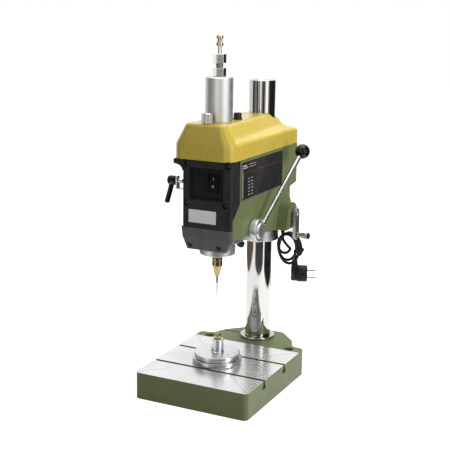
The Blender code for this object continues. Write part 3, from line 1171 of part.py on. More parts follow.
def cover_ring(z, front_half, rear_half, front_y, rear_y, corners, inset=0):
    front_corner, rear_corner = corners
    ring = rounded([
        (inset - front_half - COVER_LEFT_EXTRA, front_y + inset, front_corner),
        (front_half - inset, front_y + inset, front_corner), (rear_half - inset, rear_y - inset, rear_corner),
        (inset - rear_half - COVER_LEFT_EXTRA, rear_y - inset, rear_corner)])
    return [(x, y, z) for x, y in ring]


def cover_sections(inset, roof, drop):
    corners = (COVER_CORNER - inset, COVER_REAR_CORNER - inset)
    top_corners = (COVER_TOP_CORNER, COVER_TOP_CORNER)
    return [
        cover_ring(COVER_BOTTOM - drop, COVER_HALF_WIDTH, COVER_HALF_WIDTH, COVER_FRONT, COVER_REAR, corners, inset),
        cover_ring(COVER_TRAY_TOP - roof, COVER_HALF_WIDTH, COVER_HALF_WIDTH, COVER_FRONT, COVER_REAR, corners, inset),
        cover_ring(COVER_SHELF - roof, COVER_SHELF_HALF_WIDTH, COVER_SHELF_REAR_HALF_WIDTH, COVER_SHELF_FRONT,
                   COVER_SHELF_REAR, corners, inset),
        cover_ring(COVER_TOP - roof, COVER_TOP_FRONT_HALF_WIDTH, COVER_TOP_REAR_HALF_WIDTH, COVER_TOP_FRONT,
                   COVER_TOP_REAR, top_corners, inset)]


def cover():
    shell = loft("belt_cover", cover_sections(0, 0, 0), YELLOW)
    inside = loft("cover_hollow", cover_sections(COVER_WALL, COVER_ROOF, OVERRUN))
    column_hole = rod("cover_column_hole", (0, COLUMN_Y, COVER_BOTTOM - OVERRUN), (0, COLUMN_Y, COVER_TOP + OVERRUN),
                      COLUMN_RADIUS + COVER_COLUMN_GAP)
    spigot_hole = rod("spigot_hole", (0, 0, COVER_SHELF), (0, 0, COVER_TOP + OVERRUN), SPIGOT_RADIUS + GAP)
    nut_hole = rod("nut_hole", (NUT_X, NUT_Y, COVER_SHELF), (NUT_X, NUT_Y, COVER_TOP + OVERRUN),
                   STUD_RADIUS + RUNNING_GAP, sides=SMALL_SIDES)
    cut(shell, inside, column_hole, spigot_hole, nut_hole)
    seat = COVER_TOP + GAP
    top = seat + NUT_HEIGHT
    nut = plate("cover_nut", ridged_outline((NUT_X, NUT_Y), NUT_RADIUS, NUT_RIDGES), "Z", seat, top, CHROME)
    screw = rod("nut_screw", (NUT_X, NUT_Y, COVER_TOP - 2 * COVER_ROOF), (NUT_X, NUT_Y, seat + GAP), STUD_RADIUS,
                sides=SMALL_SIDES)
    fuse(nut, screw)
    joint("nut_axis", (NUT_X, NUT_Y, seat), nut)
    disc_top = seat + CAP_DISC_HEIGHT
    cap_top = seat + CAP_HEIGHT
    edge = CAP_RADIUS / 4
    turned("cover_cap", [
        (0, cap_top), (CAP_RADIUS - edge, cap_top), (CAP_RADIUS, cap_top - edge), (CAP_RADIUS, disc_top),
        (CAP_DISC_RADIUS, disc_top - edge), (CAP_DISC_RADIUS, seat), (0, seat)], (CAP_X, CAP_Y, 0), BLACK,
        sides=SMALL_SIDES)
    chamfer = CYLINDER_CHAMFER
    stack = FITTING_TOP - seat
    cylinder_top = seat + CYLINDER_TOP_SHARE * stack
    hex_low_top = seat + HEX_LOW_TOP_SHARE * stack
    neck_top = seat + NECK_TOP_SHARE * stack
    hex_high_top = seat + HEX_HIGH_TOP_SHARE * stack
    stem_top = seat + STEM_TOP_SHARE * stack
    turned("feed_cylinder", [
        (0, cylinder_top), (CYLINDER_RADIUS - chamfer, cylinder_top), (CYLINDER_RADIUS, cylinder_top - chamfer),
        (CYLINDER_RADIUS, seat), (SPIGOT_RADIUS, seat), (SPIGOT_RADIUS, seat - SPIGOT_LENGTH),
        (0, seat - SPIGOT_LENGTH)], (0, 0, 0), ALUMINIUM)
    hexagon = 6
    low_hex = rod("cylinder_hex", (0, 0, cylinder_top + GAP), (0, 0, hex_low_top), HEX_RADIUS, ALUMINIUM,
                  sides=hexagon)
    rod("thread_neck", (0, 0, hex_low_top + GAP), (0, 0, neck_top), THREAD_NECK_RADIUS, STEEL, sides=SMALL_SIDES)
    swivel = rod("swivel_hex", (0, 0, neck_top + GAP), (0, 0, hex_high_top), HEX_RADIUS, ALUMINIUM, sides=hexagon)
    stem = rod("swivel_stem", (0, 0, hex_high_top - GAP), (0, 0, stem_top), STEM_RADIUS, sides=SMALL_SIDES)
    fuse(swivel, stem)
    for piece in (low_hex, swivel):
        piece.data.polygons.foreach_set("use_smooth", [False] * len(piece.data.polygons))
    waist = FITTING_RADIUS * FITTING_WAIST_SHARE
    low = stem_top + GAP
    third = (FITTING_TOP - low) / 3
    fitting = turned("hose_fitting", [
        (0, FITTING_TOP), (waist, FITTING_TOP), (FITTING_RADIUS, FITTING_TOP - third / 2),
        (FITTING_RADIUS, FITTING_TOP - third), (waist, FITTING_TOP - third), (waist, low + third),
        (FITTING_RADIUS, low + third), (FITTING_RADIUS, low), (0, low)], (0, 0, 0), BRASS, sides=SMALL_SIDES)
    joint("swivel_axis", (0, 0, neck_top), swivel, fitting)


def smooth_route(route, per_span):
    """Points on a Catmull-Rom curve through the route's own points."""
    places = [Vector(place) for place in route]
    points = [places[0]]
    for i in range(len(places) - 1):
        p0 = places[max(i - 1, 0)]
        p1 = places[i]
        p2 = places[i + 1]
        p3 = places[min(i + 2, len(places) - 1)]
        for step in range(1, per_span + 1):
            t = step / per_span
            points.append((p1 * 2 + (p2 - p0) * t + (p0 * 2 - p1 * 5 + p2 * 4 - p3) * t * t
                           + (p1 * 3 - p0 - p2 * 3 + p3) * t * t * t) / 2)
    return points


def cord_route():
    """Points of the cord: a lead, loops that grow from turn to turn, and a tail that drops into the plug."""
    total = 2 * math.pi * LOOP_TURNS - LOOP_START_ANGLE + LOOP_END_ANGLE
    steps = round(total / (2 * math.pi) * LOOP_POINTS)
    loops = []
    for step in range(steps + 1):
        angle = LOOP_START_ANGLE + total * step / steps
        rise = total * step / steps / (2 * math.pi) * LOOP_PITCH
        grown = math.sqrt(step / steps)
        half_width = LOOP_FIRST_HALF_WIDTH + (LOOP_LAST_HALF_WIDTH - LOOP_FIRST_HALF_WIDTH) * grown
        half_height = LOOP_FIRST_HALF_HEIGHT + (LOOP_LAST_HALF_HEIGHT - LOOP_FIRST_HALF_HEIGHT) * grown
        loops.append(Vector((LOOP_X + half_width * math.sin(angle), LOOP_START_Y + rise,
                             LOOP_TOP - half_height + half_height * math.cos(angle))))
    lead = smooth_route([*LEAD_ROUTE[1:], loops[1], loops[2]], 2)[:-2]
    tail = smooth_route([loops[-2], loops[-1], *TAIL_ROUTE[:-1]], 2)[3:]
    return [Vector(LEAD_ROUTE[0])] + lead + loops[2:] + tail + [Vector(TAIL_ROUTE[-1])]


def least_gap(route):
    """The least free distance between turns of the cord, measured on points further than half a turn apart."""
    apart = LOOP_POINTS // 2
    least = min((a - b).length for i, a in enumerate(route) for b in route[i + apart:])
    return least - 2 * CORD_RADIUS


def cord():
    route = cord_route()
    print("least gap of the cord to itself in mm:", round(least_gap(route) / MILLIMETRE, 2))
    tube("cord_loops", route, CORD_RADIUS, RUBBER, 1)
    at_gland = (GLAND_X, GLAND_Y, 0)
    edge = CORD_RADIUS / 2
    turned("cord_gland", [
        (0, GLAND_TOP), (GLAND_RADIUS, GLAND_TOP), (GLAND_RADIUS, GLAND_TOP - 2 * edge),
        (CORD_RADIUS + edge, GLAND_BOTTOM), (0, GLAND_BOTTOM)], at_gland, BLACK, sides=SMALL_SIDES)
    tie = plate("cord_tie", rectangle(TIE_LEFT - TIE_THICKNESS, TIE_FRONT - TIE_THICKNESS, TIE_RIGHT + TIE_THICKNESS,
                                      TIE_REAR + TIE_THICKNESS, 2 * TIE_THICKNESS),
                "Z", TIE_Z - TIE_HALF_LENGTH, TIE_Z + TIE_HALF_LENGTH, BLACK)
    cut(tie, plate("tie_inside", rectangle(TIE_LEFT, TIE_FRONT, TIE_RIGHT, TIE_REAR, TIE_THICKNESS), "Z",
                   TIE_Z - TIE_HALF_LENGTH - OVERRUN, TIE_Z + TIE_HALF_LENGTH + OVERRUN))
    sole = PLUG_HEAD_Z - PLUG_HEAD_RADIUS + PLUG_EDGE
    body = turned("plug_body", [
        (0, PLUG_TOP), (CORD_RADIUS + edge, PLUG_TOP), (PLUG_NECK_RADIUS, PLUG_SHOULDER),
        (PLUG_NECK_RADIUS, sole + PLUG_NECK_RADIUS / 2), (PLUG_NECK_RADIUS / 2, sole), (0, sole)],
        (PLUG_X, PLUG_Y, 0), BLACK, sides=SMALL_SIDES)
    aim = Vector((math.cos(PLUG_TURN), math.sin(PLUG_TURN), 0))
    across = Vector((-math.sin(PLUG_TURN), math.cos(PLUG_TURN), 0))
    middle = Vector((PLUG_X, PLUG_Y, PLUG_HEAD_Z))
    head = turned("plug_head", [
        (0, PLUG_HEAD_FACE), (PLUG_HEAD_RADIUS - PLUG_EDGE, PLUG_HEAD_FACE),
        (PLUG_HEAD_RADIUS, PLUG_HEAD_FACE - PLUG_EDGE), (PLUG_HEAD_RADIUS, PLUG_HEAD_BACK + PLUG_EDGE),
        (PLUG_HEAD_RADIUS - PLUG_EDGE, PLUG_HEAD_BACK), (0, PLUG_HEAD_BACK)], (0, 0, 0), axis="X",
        sides=SMALL_SIDES)
    head.data.transform(Matrix.Translation(middle) @ Matrix.Rotation(PLUG_TURN, 4, "Z"))
    fuse(body, head)
    for name, side in (("plug_pin_a", -1), ("plug_pin_b", 1)):
        root = middle + across * side * PIN_HALF_DY + Vector((0, 0, side * PIN_HALF_DZ))
        rod(name, root + aim * (PLUG_HEAD_FACE + GAP), root + aim * (PLUG_HEAD_FACE + PIN_LENGTH), PIN_RADIUS,
            CHROME, sides=SMALL_SIDES)


base()
column()
fixture()
head_castings()
front()
quill_and_spindle()
drive()
feed()
crank()
clamps()
cover()
cord()
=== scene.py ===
# %% [markdown]
# A mini bench drill press, dressed for its picture.
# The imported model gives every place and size. Each cell below takes one piece of the machine, says what it
# is on the real one, and makes the surface or the fine shape that the plain solids leave out.

# %% Load the frame
import json
import math

import bmesh
import bpy
from mathutils import Matrix, Vector


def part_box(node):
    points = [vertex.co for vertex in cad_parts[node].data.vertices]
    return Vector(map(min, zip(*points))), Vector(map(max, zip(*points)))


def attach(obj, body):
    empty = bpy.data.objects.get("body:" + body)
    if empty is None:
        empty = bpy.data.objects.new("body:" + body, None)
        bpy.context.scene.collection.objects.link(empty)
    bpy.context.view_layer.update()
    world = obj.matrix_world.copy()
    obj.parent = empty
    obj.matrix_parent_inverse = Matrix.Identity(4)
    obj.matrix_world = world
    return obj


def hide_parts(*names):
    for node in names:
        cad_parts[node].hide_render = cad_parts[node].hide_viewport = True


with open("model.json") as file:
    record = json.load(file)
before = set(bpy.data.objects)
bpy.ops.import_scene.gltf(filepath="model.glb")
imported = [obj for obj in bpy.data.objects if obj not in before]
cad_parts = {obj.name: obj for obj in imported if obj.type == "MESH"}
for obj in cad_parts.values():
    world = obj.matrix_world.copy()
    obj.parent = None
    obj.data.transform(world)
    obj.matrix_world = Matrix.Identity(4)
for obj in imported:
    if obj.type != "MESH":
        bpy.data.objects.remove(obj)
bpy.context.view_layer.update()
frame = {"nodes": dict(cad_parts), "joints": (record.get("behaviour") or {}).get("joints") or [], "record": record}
nodes = frame["nodes"]
record = frame["record"]
body_of = {node: body for body, names in record["behaviour"]["bodies"].items() for node in names}
slot_of = {part["node"]: part["material_slot"] for part in record["subparts"]}

# %% [markdown]
# Four small tools come back in most cells. They put data into the scene as an object, read where a solid of
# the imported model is, shade a mesh smooth with a break at real corners, and wire nodes together.

# %% Small tools
KEEP_SHARP = math.radians(40)


def new_object(name, data):
    made = bpy.data.objects.new(name, data)
    bpy.context.scene.collection.objects.link(made)
    return made


def corners_of(node):
    """The lowest and the highest corner of a solid at rest."""
    low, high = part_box(node)
    return Vector(low), Vector(high)


def shaded(mesh):
    mesh.shade_smooth()
    mesh.set_sharp_from_angle(angle=KEEP_SHARP)
    return mesh


def wire(tree, *lines):
    """Each line names a node and its output, then the next node and its input."""
    for source, out, target, entry in lines:
        tree.links.new(source.outputs[out], target.inputs[entry])


# %% [markdown]
# The camera stands to the right of the machine's front, a little above the head, with a short telephoto lens.
# Its place and turns were worked out from the edges of the square base and the upright column.

# %% Camera
CAMERA_PLACE = Vector((0.7018, -1.3907, 0.6400))
CAMERA_YAW = math.radians(26.35)
CAMERA_PITCH = math.radians(13.0)
CAMERA_ROLL = math.radians(0.77)
LENS = 80.09
SENSOR_WIDTH = 36


def camera_turn(yaw, pitch, roll):
    ahead = Vector((-math.sin(yaw) * math.cos(pitch), math.cos(yaw) * math.cos(pitch), -math.sin(pitch)))
    side = Vector((math.cos(yaw), math.sin(yaw), 0))
    above = side.cross(ahead)
    right = side * math.cos(roll) + above * math.sin(roll)
    up = above * math.cos(roll) - side * math.sin(roll)
    return Matrix((right, up, -ahead)).transposed().to_4x4()


lens = bpy.data.cameras.new("camera")
lens.lens = LENS
lens.sensor_width = SENSOR_WIDTH
camera = new_object("camera", lens)
camera.matrix_world = Matrix.Translation(CAMERA_PLACE) @ camera_turn(CAMERA_YAW, CAMERA_PITCH, CAMERA_ROLL)
bpy.context.scene.camera = camera
print("camera at", tuple(CAMERA_PLACE))

# %% [markdown]
# Every finish starts from one Principled shader. Small helpers add what makes it real: a fine bump, a change
# of roughness from place to place, and streaks left by turning or grinding. All of them read Object
# coordinates, so a pattern stays put on its piece when the machine moves.

# %% Helpers for materials
NOISE_LOW = 0.3
NOISE_HIGH = 0.7


def shader_of(material):
    return material.node_tree.nodes["Principled BSDF"]


def finish_named(name, colour, roughness, metallic=0.0, specular=0.5):
    made = bpy.data.materials.new(name)
    made.use_nodes = True
    settings = {"Base Color": (*colour, 1), "Roughness": roughness, "Metallic": metallic,
                "Specular IOR Level": specular}
    for title, value in settings.items():
        shader_of(made).inputs[title].default_value = value
    return made


def add(material, kind, **values):
    """A new node, with its inputs or its own settings filled in by name."""
    node = material.node_tree.nodes.new(kind)
    for name, value in values.items():
        if name in node.inputs:
            node.inputs[name].default_value = value
        else:
            setattr(node, name, value)
    return node


def link(material, source, target):
    material.node_tree.links.new(source, target)


def noise(material, size, stretch=(1, 1, 1), detail=4):
    """Noise with features of a given size in metres, stretched along the axes."""
    place = add(material, "ShaderNodeTexCoord")
    mapping = add(material, "ShaderNodeMapping", Scale=[share / size for share in stretch])
    texture = add(material, "ShaderNodeTexNoise", Scale=1, Detail=detail)
    wire(material.node_tree, (place, "Object", mapping, "Vector"), (mapping, "Vector", texture, "Vector"))
    return texture.outputs["Fac"]


def spread(material, factor, low, high):
    """A number that runs from low to high as the noise runs over its usual middle range."""
    span = add(material, "ShaderNodeMapRange",
               **{"From Min": NOISE_LOW, "From Max": NOISE_HIGH, "To Min": low, "To Max": high})
    link(material, factor, span.inputs["Value"])
    return span.outputs["Result"]


def blended(material, factor, first, second):
    """A colour that runs from first to second, each of them a socket or plain numbers."""
    blend = add(material, "ShaderNodeMix", data_type="RGBA")
    link(material, factor, blend.inputs["Factor"])
    ends = [socket for socket in blend.inputs if socket.type == "RGBA"]
    for end, colour in zip(ends, (first, second)):
        if isinstance(colour, bpy.types.NodeSocket):
            link(material, colour, end)
        else:
            end.default_value = (*colour, 1)
    return next(socket for socket in blend.outputs if socket.type == "RGBA")


def vary_roughness(material, factor, low, high):
    link(material, spread(material, factor, low, high), shader_of(material).inputs["Roughness"])


def vary_colour(material, factor, first, second):
    colour = blended(material, spread(material, factor, 0, 1), first, second)
    link(material, colour, shader_of(material).inputs["Base Color"])


def bump(material, factor, depth, strength=0.5):
    relief = add(material, "ShaderNodeBump", Distance=depth, Strength=strength)
    link(material, factor, relief.inputs["Height"])
    link(material, relief.outputs["Normal"], shader_of(material).inputs["Normal"])


# %% [markdown]
# The castings are sprayed olive green over a slightly uneven sand-cast skin, which a fine bump gives. The
# belt cover is smooth, and its paint has a clear coat, so that it shines softly along the rounded corner.

# %% Paints
GREEN_LIGHT = (0.178, 0.215, 0.092)
GREEN_DARK = (0.155, 0.190, 0.076)
YELLOW_LIGHT = (0.74, 0.560, 0.085)
YELLOW_DARK = (0.68, 0.505, 0.065)
CAST_GRAIN = 0.0022
CAST_DEPTH = 0.00012


def cast_paint(name):
    paint = finish_named(name, GREEN_LIGHT, 0.42, specular=0.25)
    vary_colour(paint, noise(paint, 0.03), GREEN_LIGHT, GREEN_DARK)
    vary_roughness(paint, noise(paint, 0.012), 0.36, 0.5)
    bump(paint, noise(paint, CAST_GRAIN), CAST_DEPTH, 0.45)
    return paint


green = cast_paint("green cast paint")
yellow = finish_named("yellow gloss paint", YELLOW_LIGHT, 0.28, specular=0.3)
vary_colour(yellow, noise(yellow, 0.06), YELLOW_LIGHT, YELLOW_DARK)
vary_roughness(yellow, noise(yellow, 0.02), 0.24, 0.34)
bump(yellow, noise(yellow, 0.004), 0.00008, 0.3)
shader_of(yellow).inputs["Coat Weight"].default_value = 0.55
shader_of(yellow).inputs["Coat Roughness"].default_value = 0.2
print("paints:", green.name, yellow.name)

# %% [markdown]
# Bare metal isn't one grey. Plated, drawn and blasted pieces have no tool marks, and differ in colour and in
# how even their gloss is. Turned pieces carry the fine rings of the lathe tool, square to the axis they were
# turned on, so their noise is stretched round that axis.

# %% Bare metals


def smooth_metal(name, colour, low, high, cloud=0.01):
    """Metal without tool marks, whose roughness drifts between two levels."""
    metal = finish_named(name, colour, (low + high) / 2, 1)
    vary_roughness(metal, noise(metal, cloud), low, high)
    return metal


def turned_metal(name, colour, worn, roughness, groove=0.0007, axis="Z"):
    """Metal with rings as wide as a groove, square to the turning axis."""
    metal = finish_named(name, colour, roughness, 1)
    stretch = {"X": (1, 0.02, 0.02), "Z": (0.02, 0.02, 1)}[axis]
    rings = noise(metal, groove, stretch, 2)
    vary_colour(metal, noise(metal, 0.02), colour, worn)
    vary_roughness(metal, rings, roughness * 0.8, roughness * 1.25)
    bump(metal, rings, 0.00002, 0.12)
    return metal


chrome = smooth_metal("polished chrome", (0.57, 0.567, 0.548), 0.05, 0.1, 0.03)
bright_rod = smooth_metal("bright rod", (0.58, 0.58, 0.575), 0.12, 0.24)
satin = smooth_metal("satin aluminium", (0.67, 0.675, 0.68), 0.42, 0.50)
polished = smooth_metal("polished steel", (0.86, 0.86, 0.85), 0.12, 0.2)
dark_steel = smooth_metal("blackened steel", (0.07, 0.07, 0.07), 0.3, 0.45, 0.002)
steel = turned_metal("machined steel", (0.50, 0.50, 0.49), (0.40, 0.40, 0.39), 0.3, 0.0006)
aluminium = turned_metal("turned aluminium", (0.58, 0.585, 0.59), (0.51, 0.515, 0.52), 0.38)
aluminium_x = turned_metal("turned aluminium across", (0.70, 0.715, 0.73), (0.60, 0.615, 0.63), 0.4, axis="X")
bright_aluminium = turned_metal("bright aluminium", (0.80, 0.82, 0.83), (0.72, 0.74, 0.75), 0.3)
brass = turned_metal("turned brass", (0.46, 0.36, 0.175), (0.37, 0.28, 0.12), 0.22, 0.0008)
pale_brass = turned_metal("nickelled brass", (0.62, 0.56, 0.42), (0.54, 0.48, 0.34), 0.2, 0.0008)
print("metals:", chrome.name, steel.name, aluminium.name, brass.name)

# %% [markdown]
# The table is a part of the green casting whose top is ground bare, so one material serves both: it turns to
# ground steel where the surface is at the height of the table and in front of the green foot. The mask is a
# height and a depth test on Object coordinates, which are the machine's own coordinates here. Grinding leaves
# a straight lay, bands about a millimetre wide along one axis, and the layout lines scribed from the corners
# show as dark hairs.

# %% Casting with its ground table
TABLE_REAR = 0.115
TABLE_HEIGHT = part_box("base_casting")[1][2]
TABLE_SKIN = 0.0004
TABLE_METAL = 0.72
TABLE_CENTRE = 0.011
GROUND_DULL = (0.82, 0.82, 0.815)
GROUND_BRIGHT = (0.94, 0.94, 0.935)
CLOUD_SIZE = 0.05
LAY_WIDTH = 0.0011
LAY_STRETCH = (0.02, 1, 1)
LAY_ROUGHNESS = (0.19, 0.28)
SCRIBE_COLOUR = (0.2, 0.2, 0.195)
SCRIBE_SLOPE = 0.963
SCRIBE_WIDTH = 0.0004
SCRIBE_INNER_END = 0.055


def step_of(material, kind, first, second=0):
    """A Math node whose inputs are sockets or numbers."""
    made = add(material, "ShaderNodeMath", operation=kind)
    for i, value in enumerate((first, second)):
        if isinstance(value, bpy.types.NodeSocket):
            link(material, value, made.inputs[i])
        else:
            made.inputs[i].default_value = value
    return made.outputs[0]


def scribed(material, apart, colour):
    """Darken a colour along the lines scribed from the corners of the table towards its centre."""
    beside = step_of(material, "ABSOLUTE", apart.outputs["X"])
    from_centre = step_of(material, "SUBTRACT", apart.outputs["Y"], TABLE_CENTRE)
    behind = step_of(material, "MULTIPLY", step_of(material, "ABSOLUTE", from_centre), SCRIBE_SLOPE)
    off_line = step_of(material, "ABSOLUTE", step_of(material, "SUBTRACT", beside, behind))
    near = step_of(material, "LESS_THAN", off_line, SCRIBE_WIDTH)
    outer = step_of(material, "GREATER_THAN", beside, SCRIBE_INNER_END)
    return blended(material, step_of(material, "MULTIPLY", near, outer), colour, SCRIBE_COLOUR)


def casting_with_table():
    mix = cast_paint("green casting with ground table")
    inputs = shader_of(mix).inputs
    paint_colour = inputs["Base Color"].links[0].from_socket
    paint_rough = inputs["Roughness"].links[0].from_socket
    apart = add(mix, "ShaderNodeSeparateXYZ")
    link(mix, add(mix, "ShaderNodeTexCoord").outputs["Object"], apart.inputs[0])
    high = step_of(mix, "GREATER_THAN", apart.outputs["Z"], TABLE_HEIGHT - TABLE_SKIN)
    front = step_of(mix, "LESS_THAN", apart.outputs["Y"], TABLE_REAR)
    mask = step_of(mix, "MULTIPLY", high, front)
    cloud = spread(mix, noise(mix, CLOUD_SIZE), 0, 1)
    ground = scribed(mix, apart, blended(mix, cloud, GROUND_DULL, GROUND_BRIGHT))
    link(mix, blended(mix, mask, paint_colour, ground), inputs["Base Color"])
    lay = spread(mix, noise(mix, LAY_WIDTH, LAY_STRETCH, 3), *LAY_ROUGHNESS)
    rough = add(mix, "ShaderNodeMix", data_type="FLOAT")
    for title, source in (("Factor", mask), ("A", paint_rough), ("B", lay)):
        link(mix, source, rough.inputs[title])
    link(mix, rough.outputs["Result"], inputs["Roughness"])
    link(mix, step_of(mix, "MULTIPLY", mask, TABLE_METAL), inputs["Metallic"])
    return mix


casting = casting_with_table()
print("table at height:", round(TABLE_HEIGHT, 4))

# %% [markdown]
# The front is moulded plastic: a fine grain keeps the panel matt, while the ball and the clamp lever are
# polished. A print is only paint on a plate, so it gets no bump. The plain solids that stay visible take
# their finish from their slot in the record.

# %% Plastics, rubber, plates and prints


def moulded(name, colour, roughness, grain, depth, specular=0.22):
    plastic = finish_named(name, colour, roughness, specular=specular)
    vary_colour(plastic, noise(plastic, 0.02), colour, [share * 1.35 for share in colour])
    vary_roughness(plastic, noise(plastic, 0.008), roughness * 0.85, roughness * 1.15)
    bump(plastic, noise(plastic, grain), depth, 0.4)
    return plastic


def printed(name, colour):
    mark = finish_named(name, colour, 0.5)
    vary_roughness(mark, noise(mark, 0.002), 0.4, 0.6)
    return mark


black = moulded("black textured plastic", (0.017, 0.017, 0.017), 0.42, 0.0009, 0.00006)
dark_grey = moulded("dark grey plastic", (0.098, 0.098, 0.095), 0.5, 0.001, 0.00007)
switch_black = moulded("switch plastic", (0.008, 0.008, 0.0085), 0.3, 0.0007, 0.00003, 0.1)
gloss_black = moulded("polished black plastic", (0.009, 0.009, 0.009), 0.14, 0.004, 0.00002, 0.32)
rubber = moulded("cord rubber", (0.014, 0.014, 0.0145), 0.48, 0.0012, 0.00005)
plate_black = moulded("printed black plate", (0.016, 0.0155, 0.016), 0.3, 0.003, 0.00002, 0.13)
label_paper = finish_named("bare white label", (0.72, 0.71, 0.67), 0.45)
vary_colour(label_paper, noise(label_paper, 0.006), (0.95, 0.95, 0.91), (0.90, 0.90, 0.87))
bump(label_paper, noise(label_paper, 0.002), 0.00003, 0.3)
mark_white = printed("printed white", (0.6, 0.6, 0.58))
mark_red = printed("printed red", (0.28, 0.03, 0.02))
LOOKS = {
    "green_casting": green, "yellow_cover": yellow, "column_chrome": chrome, "machined_steel": steel,
    "bare_aluminium": aluminium, "brass": brass, "black_plastic": black, "black_gloss": gloss_black,
    "black_plate": plate_black, "grey_plastic": dark_grey, "white_label": label_paper, "motor_black": black,
    "black_rubber": rubber,
}
for name, node in nodes.items():
    node.data.materials.clear()
    node.data.materials.append(LOOKS[slot_of[name]])
print("finishes:", len(LOOKS))

# %% [markdown]
# A finished piece has its place in its mesh and rides on a body.
# Modifiers do much of the shaping: each is set on a helper object, whose evaluated mesh is kept while the
# helper goes.

# %% Finished pieces
MERGE = 0.00001


def place_piece(name, mesh, material, body, slot, *replaced):
    made = new_object(name, mesh)
    mesh.materials.clear()
    mesh.materials.append(material)
    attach(made, body)
    if replaced:
        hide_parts(*replaced)
    return made


def stand_in(node, mesh, material=None, name=None):
    """A finished piece that takes a solid's place, on the same body, with the finish of the solid's slot unless
    another is given.
    """
    slot = slot_of[node]
    return place_piece(name or node + "_fine", mesh, material or LOOKS[slot], body_of[node], slot, node)


def settled_mesh(source, name):
    """The evaluated mesh in world space; the object that gave it is removed."""
    bpy.context.view_layer.update()
    graph = bpy.context.evaluated_depsgraph_get()
    mesh = bpy.data.meshes.new_from_object(source.evaluated_get(graph))
    mesh.transform(source.matrix_world)
    mesh.name = name
    bpy.data.objects.remove(source, do_unlink=True)
    return mesh


def from_bmesh(shape, name):
    mesh = bpy.data.meshes.new(name)
    shape.to_mesh(mesh)
    shape.free()
    return mesh


def cleaned(mesh):
    """Merge a swept mesh's doubles and turn its faces outwards."""
    shape = bmesh.new()
    shape.from_mesh(mesh)
    bmesh.ops.remove_doubles(shape, verts=shape.verts, dist=MERGE)
    bmesh.ops.recalc_face_normals(shape, faces=shape.faces)
    shape.to_mesh(mesh)
    shape.free()
    return shaded(mesh)


# %% [markdown]
# Two kinds of shape make most of the machine. A turned piece is a profile swept round an axis with the Screw
# modifier, its corners rounded first. A flat piece is an outline with rounded corners, made solid along an
# axis.

# %% Turned and flat shapes
TURNED_STEPS = 96
PROFILE_STEPS = 4
AXIS_TURN = {
    "Z": Matrix.Identity(4),
    "X": Matrix(((0, 0, 1, 0), (1, 0, 0, 0), (0, 1, 0, 0), (0, 0, 0, 1))),
    "Y": Matrix(((1, 0, 0, 0), (0, 0, -1, 0), (0, 1, 0, 0), (0, 0, 0, 1))),
}


def rounded(corners, steps=5, closed=True):
    """Points of an outline whose corners (u, v, radius) are drawn as arcs."""
    points = []
    for i, (u, v, radius) in enumerate(corners):
        here = Vector((u, v))
        at_end = not closed and i in (0, len(corners) - 1)
        if radius == 0 or at_end:
            points.append((u, v))
            continue
        before = (Vector(corners[i - 1][:2]) - here).normalized()
        after = (Vector(corners[(i + 1) % len(corners)][:2]) - here).normalized()
        half = before.angle(after) / 2
        centre = here + (before + after).normalized() * radius / math.sin(half)
        reach = radius / math.tan(half)
        first = here + before * reach - centre
        sweep = first.angle_signed(here + after * reach - centre)
        for step in range(steps + 1):
            point = centre + Matrix.Rotation(-sweep * step / steps, 2) @ first
            points.append((point.x, point.y))
    return points


def rectangle(left, low, right, high, radius=0):
    return rounded([(left, low, radius), (right, low, radius), (right, high, radius), (left, high, radius)])


def turned_mesh(name, corners, centre=(0, 0, 0), axis="Z", steps=TURNED_STEPS, hollow=False):
    """Sweep a profile of (radius, height, rounding) corners, listed down its outer side, round an axis.

    A solid piece is closed on the axis at both ends, and a hollow one is a ring of its closed profile."""
    if not hollow:
        ends = [[(0, height, 0)] if radius else [] for radius, height, _ in (corners[0], corners[-1])]
        corners = [*ends[0], *corners, *ends[1]]
    outline = rounded(corners, PROFILE_STEPS, hollow)
    if hollow:
        outline.append(outline[0])
    mesh = bpy.data.meshes.new(name)
    mesh.from_pydata([(radius, 0, height) for radius, height in outline],
                     [(i, i + 1) for i in range(len(outline) - 1)], [])
    lathe = new_object(name, mesh)
    screw = lathe.modifiers.new("Turn", "SCREW")
    screw.steps = steps
    screw.render_steps = steps
    screw.use_merge_vertices = True
    screw.merge_threshold = MERGE
    lathe.matrix_world = Matrix.Translation(centre) @ AXIS_TURN[axis]
    return cleaned(settled_mesh(lathe, name))


def turned(node, corners, centre=(0, 0, 0), axis="Z", material=None, name=None, steps=TURNED_STEPS,
           hollow=False):
    """A turned piece in a round solid's place."""
    mesh = turned_mesh(name or node + "_fine", corners, centre, axis, steps, hollow)
    return stand_in(node, mesh, material, name)


def sheet_mesh(name, outline, axis, low, high):
    """A flat outline made solid along an axis, from low to high."""
    shape = bmesh.new()
    turn = AXIS_TURN[axis]
    sign = -1 if axis == "Y" else 1
    face = shape.faces.new([shape.verts.new(turn @ Vector((u, v, sign * low))) for u, v in outline])
    moved = bmesh.ops.extrude_face_region(shape, geom=[face])["geom"]
    lift = turn @ Vector((0, 0, sign * (high - low)))
    bmesh.ops.translate(shape, vec=lift, verts=[v for v in moved if isinstance(v, bmesh.types.BMVert)])
    bmesh.ops.recalc_face_normals(shape, faces=shape.faces)
    return shaded(from_bmesh(shape, name))


# %% [markdown]
# Hardly any real edge is sharp, and the light that a small rounding catches is what makes it look real. So a
# cast or moulded piece starts from a merged copy of its solid, and the Bevel modifier rounds its edges. The
# Boolean modifier joins overlapping shapes into one closed mesh, or cuts holes. Cords and bent arms are tubes
# round a smooth line.

# %% Edges, joins and tubes
EDGE_ANGLE = math.radians(28)
FLAT_ANGLE = math.radians(1)


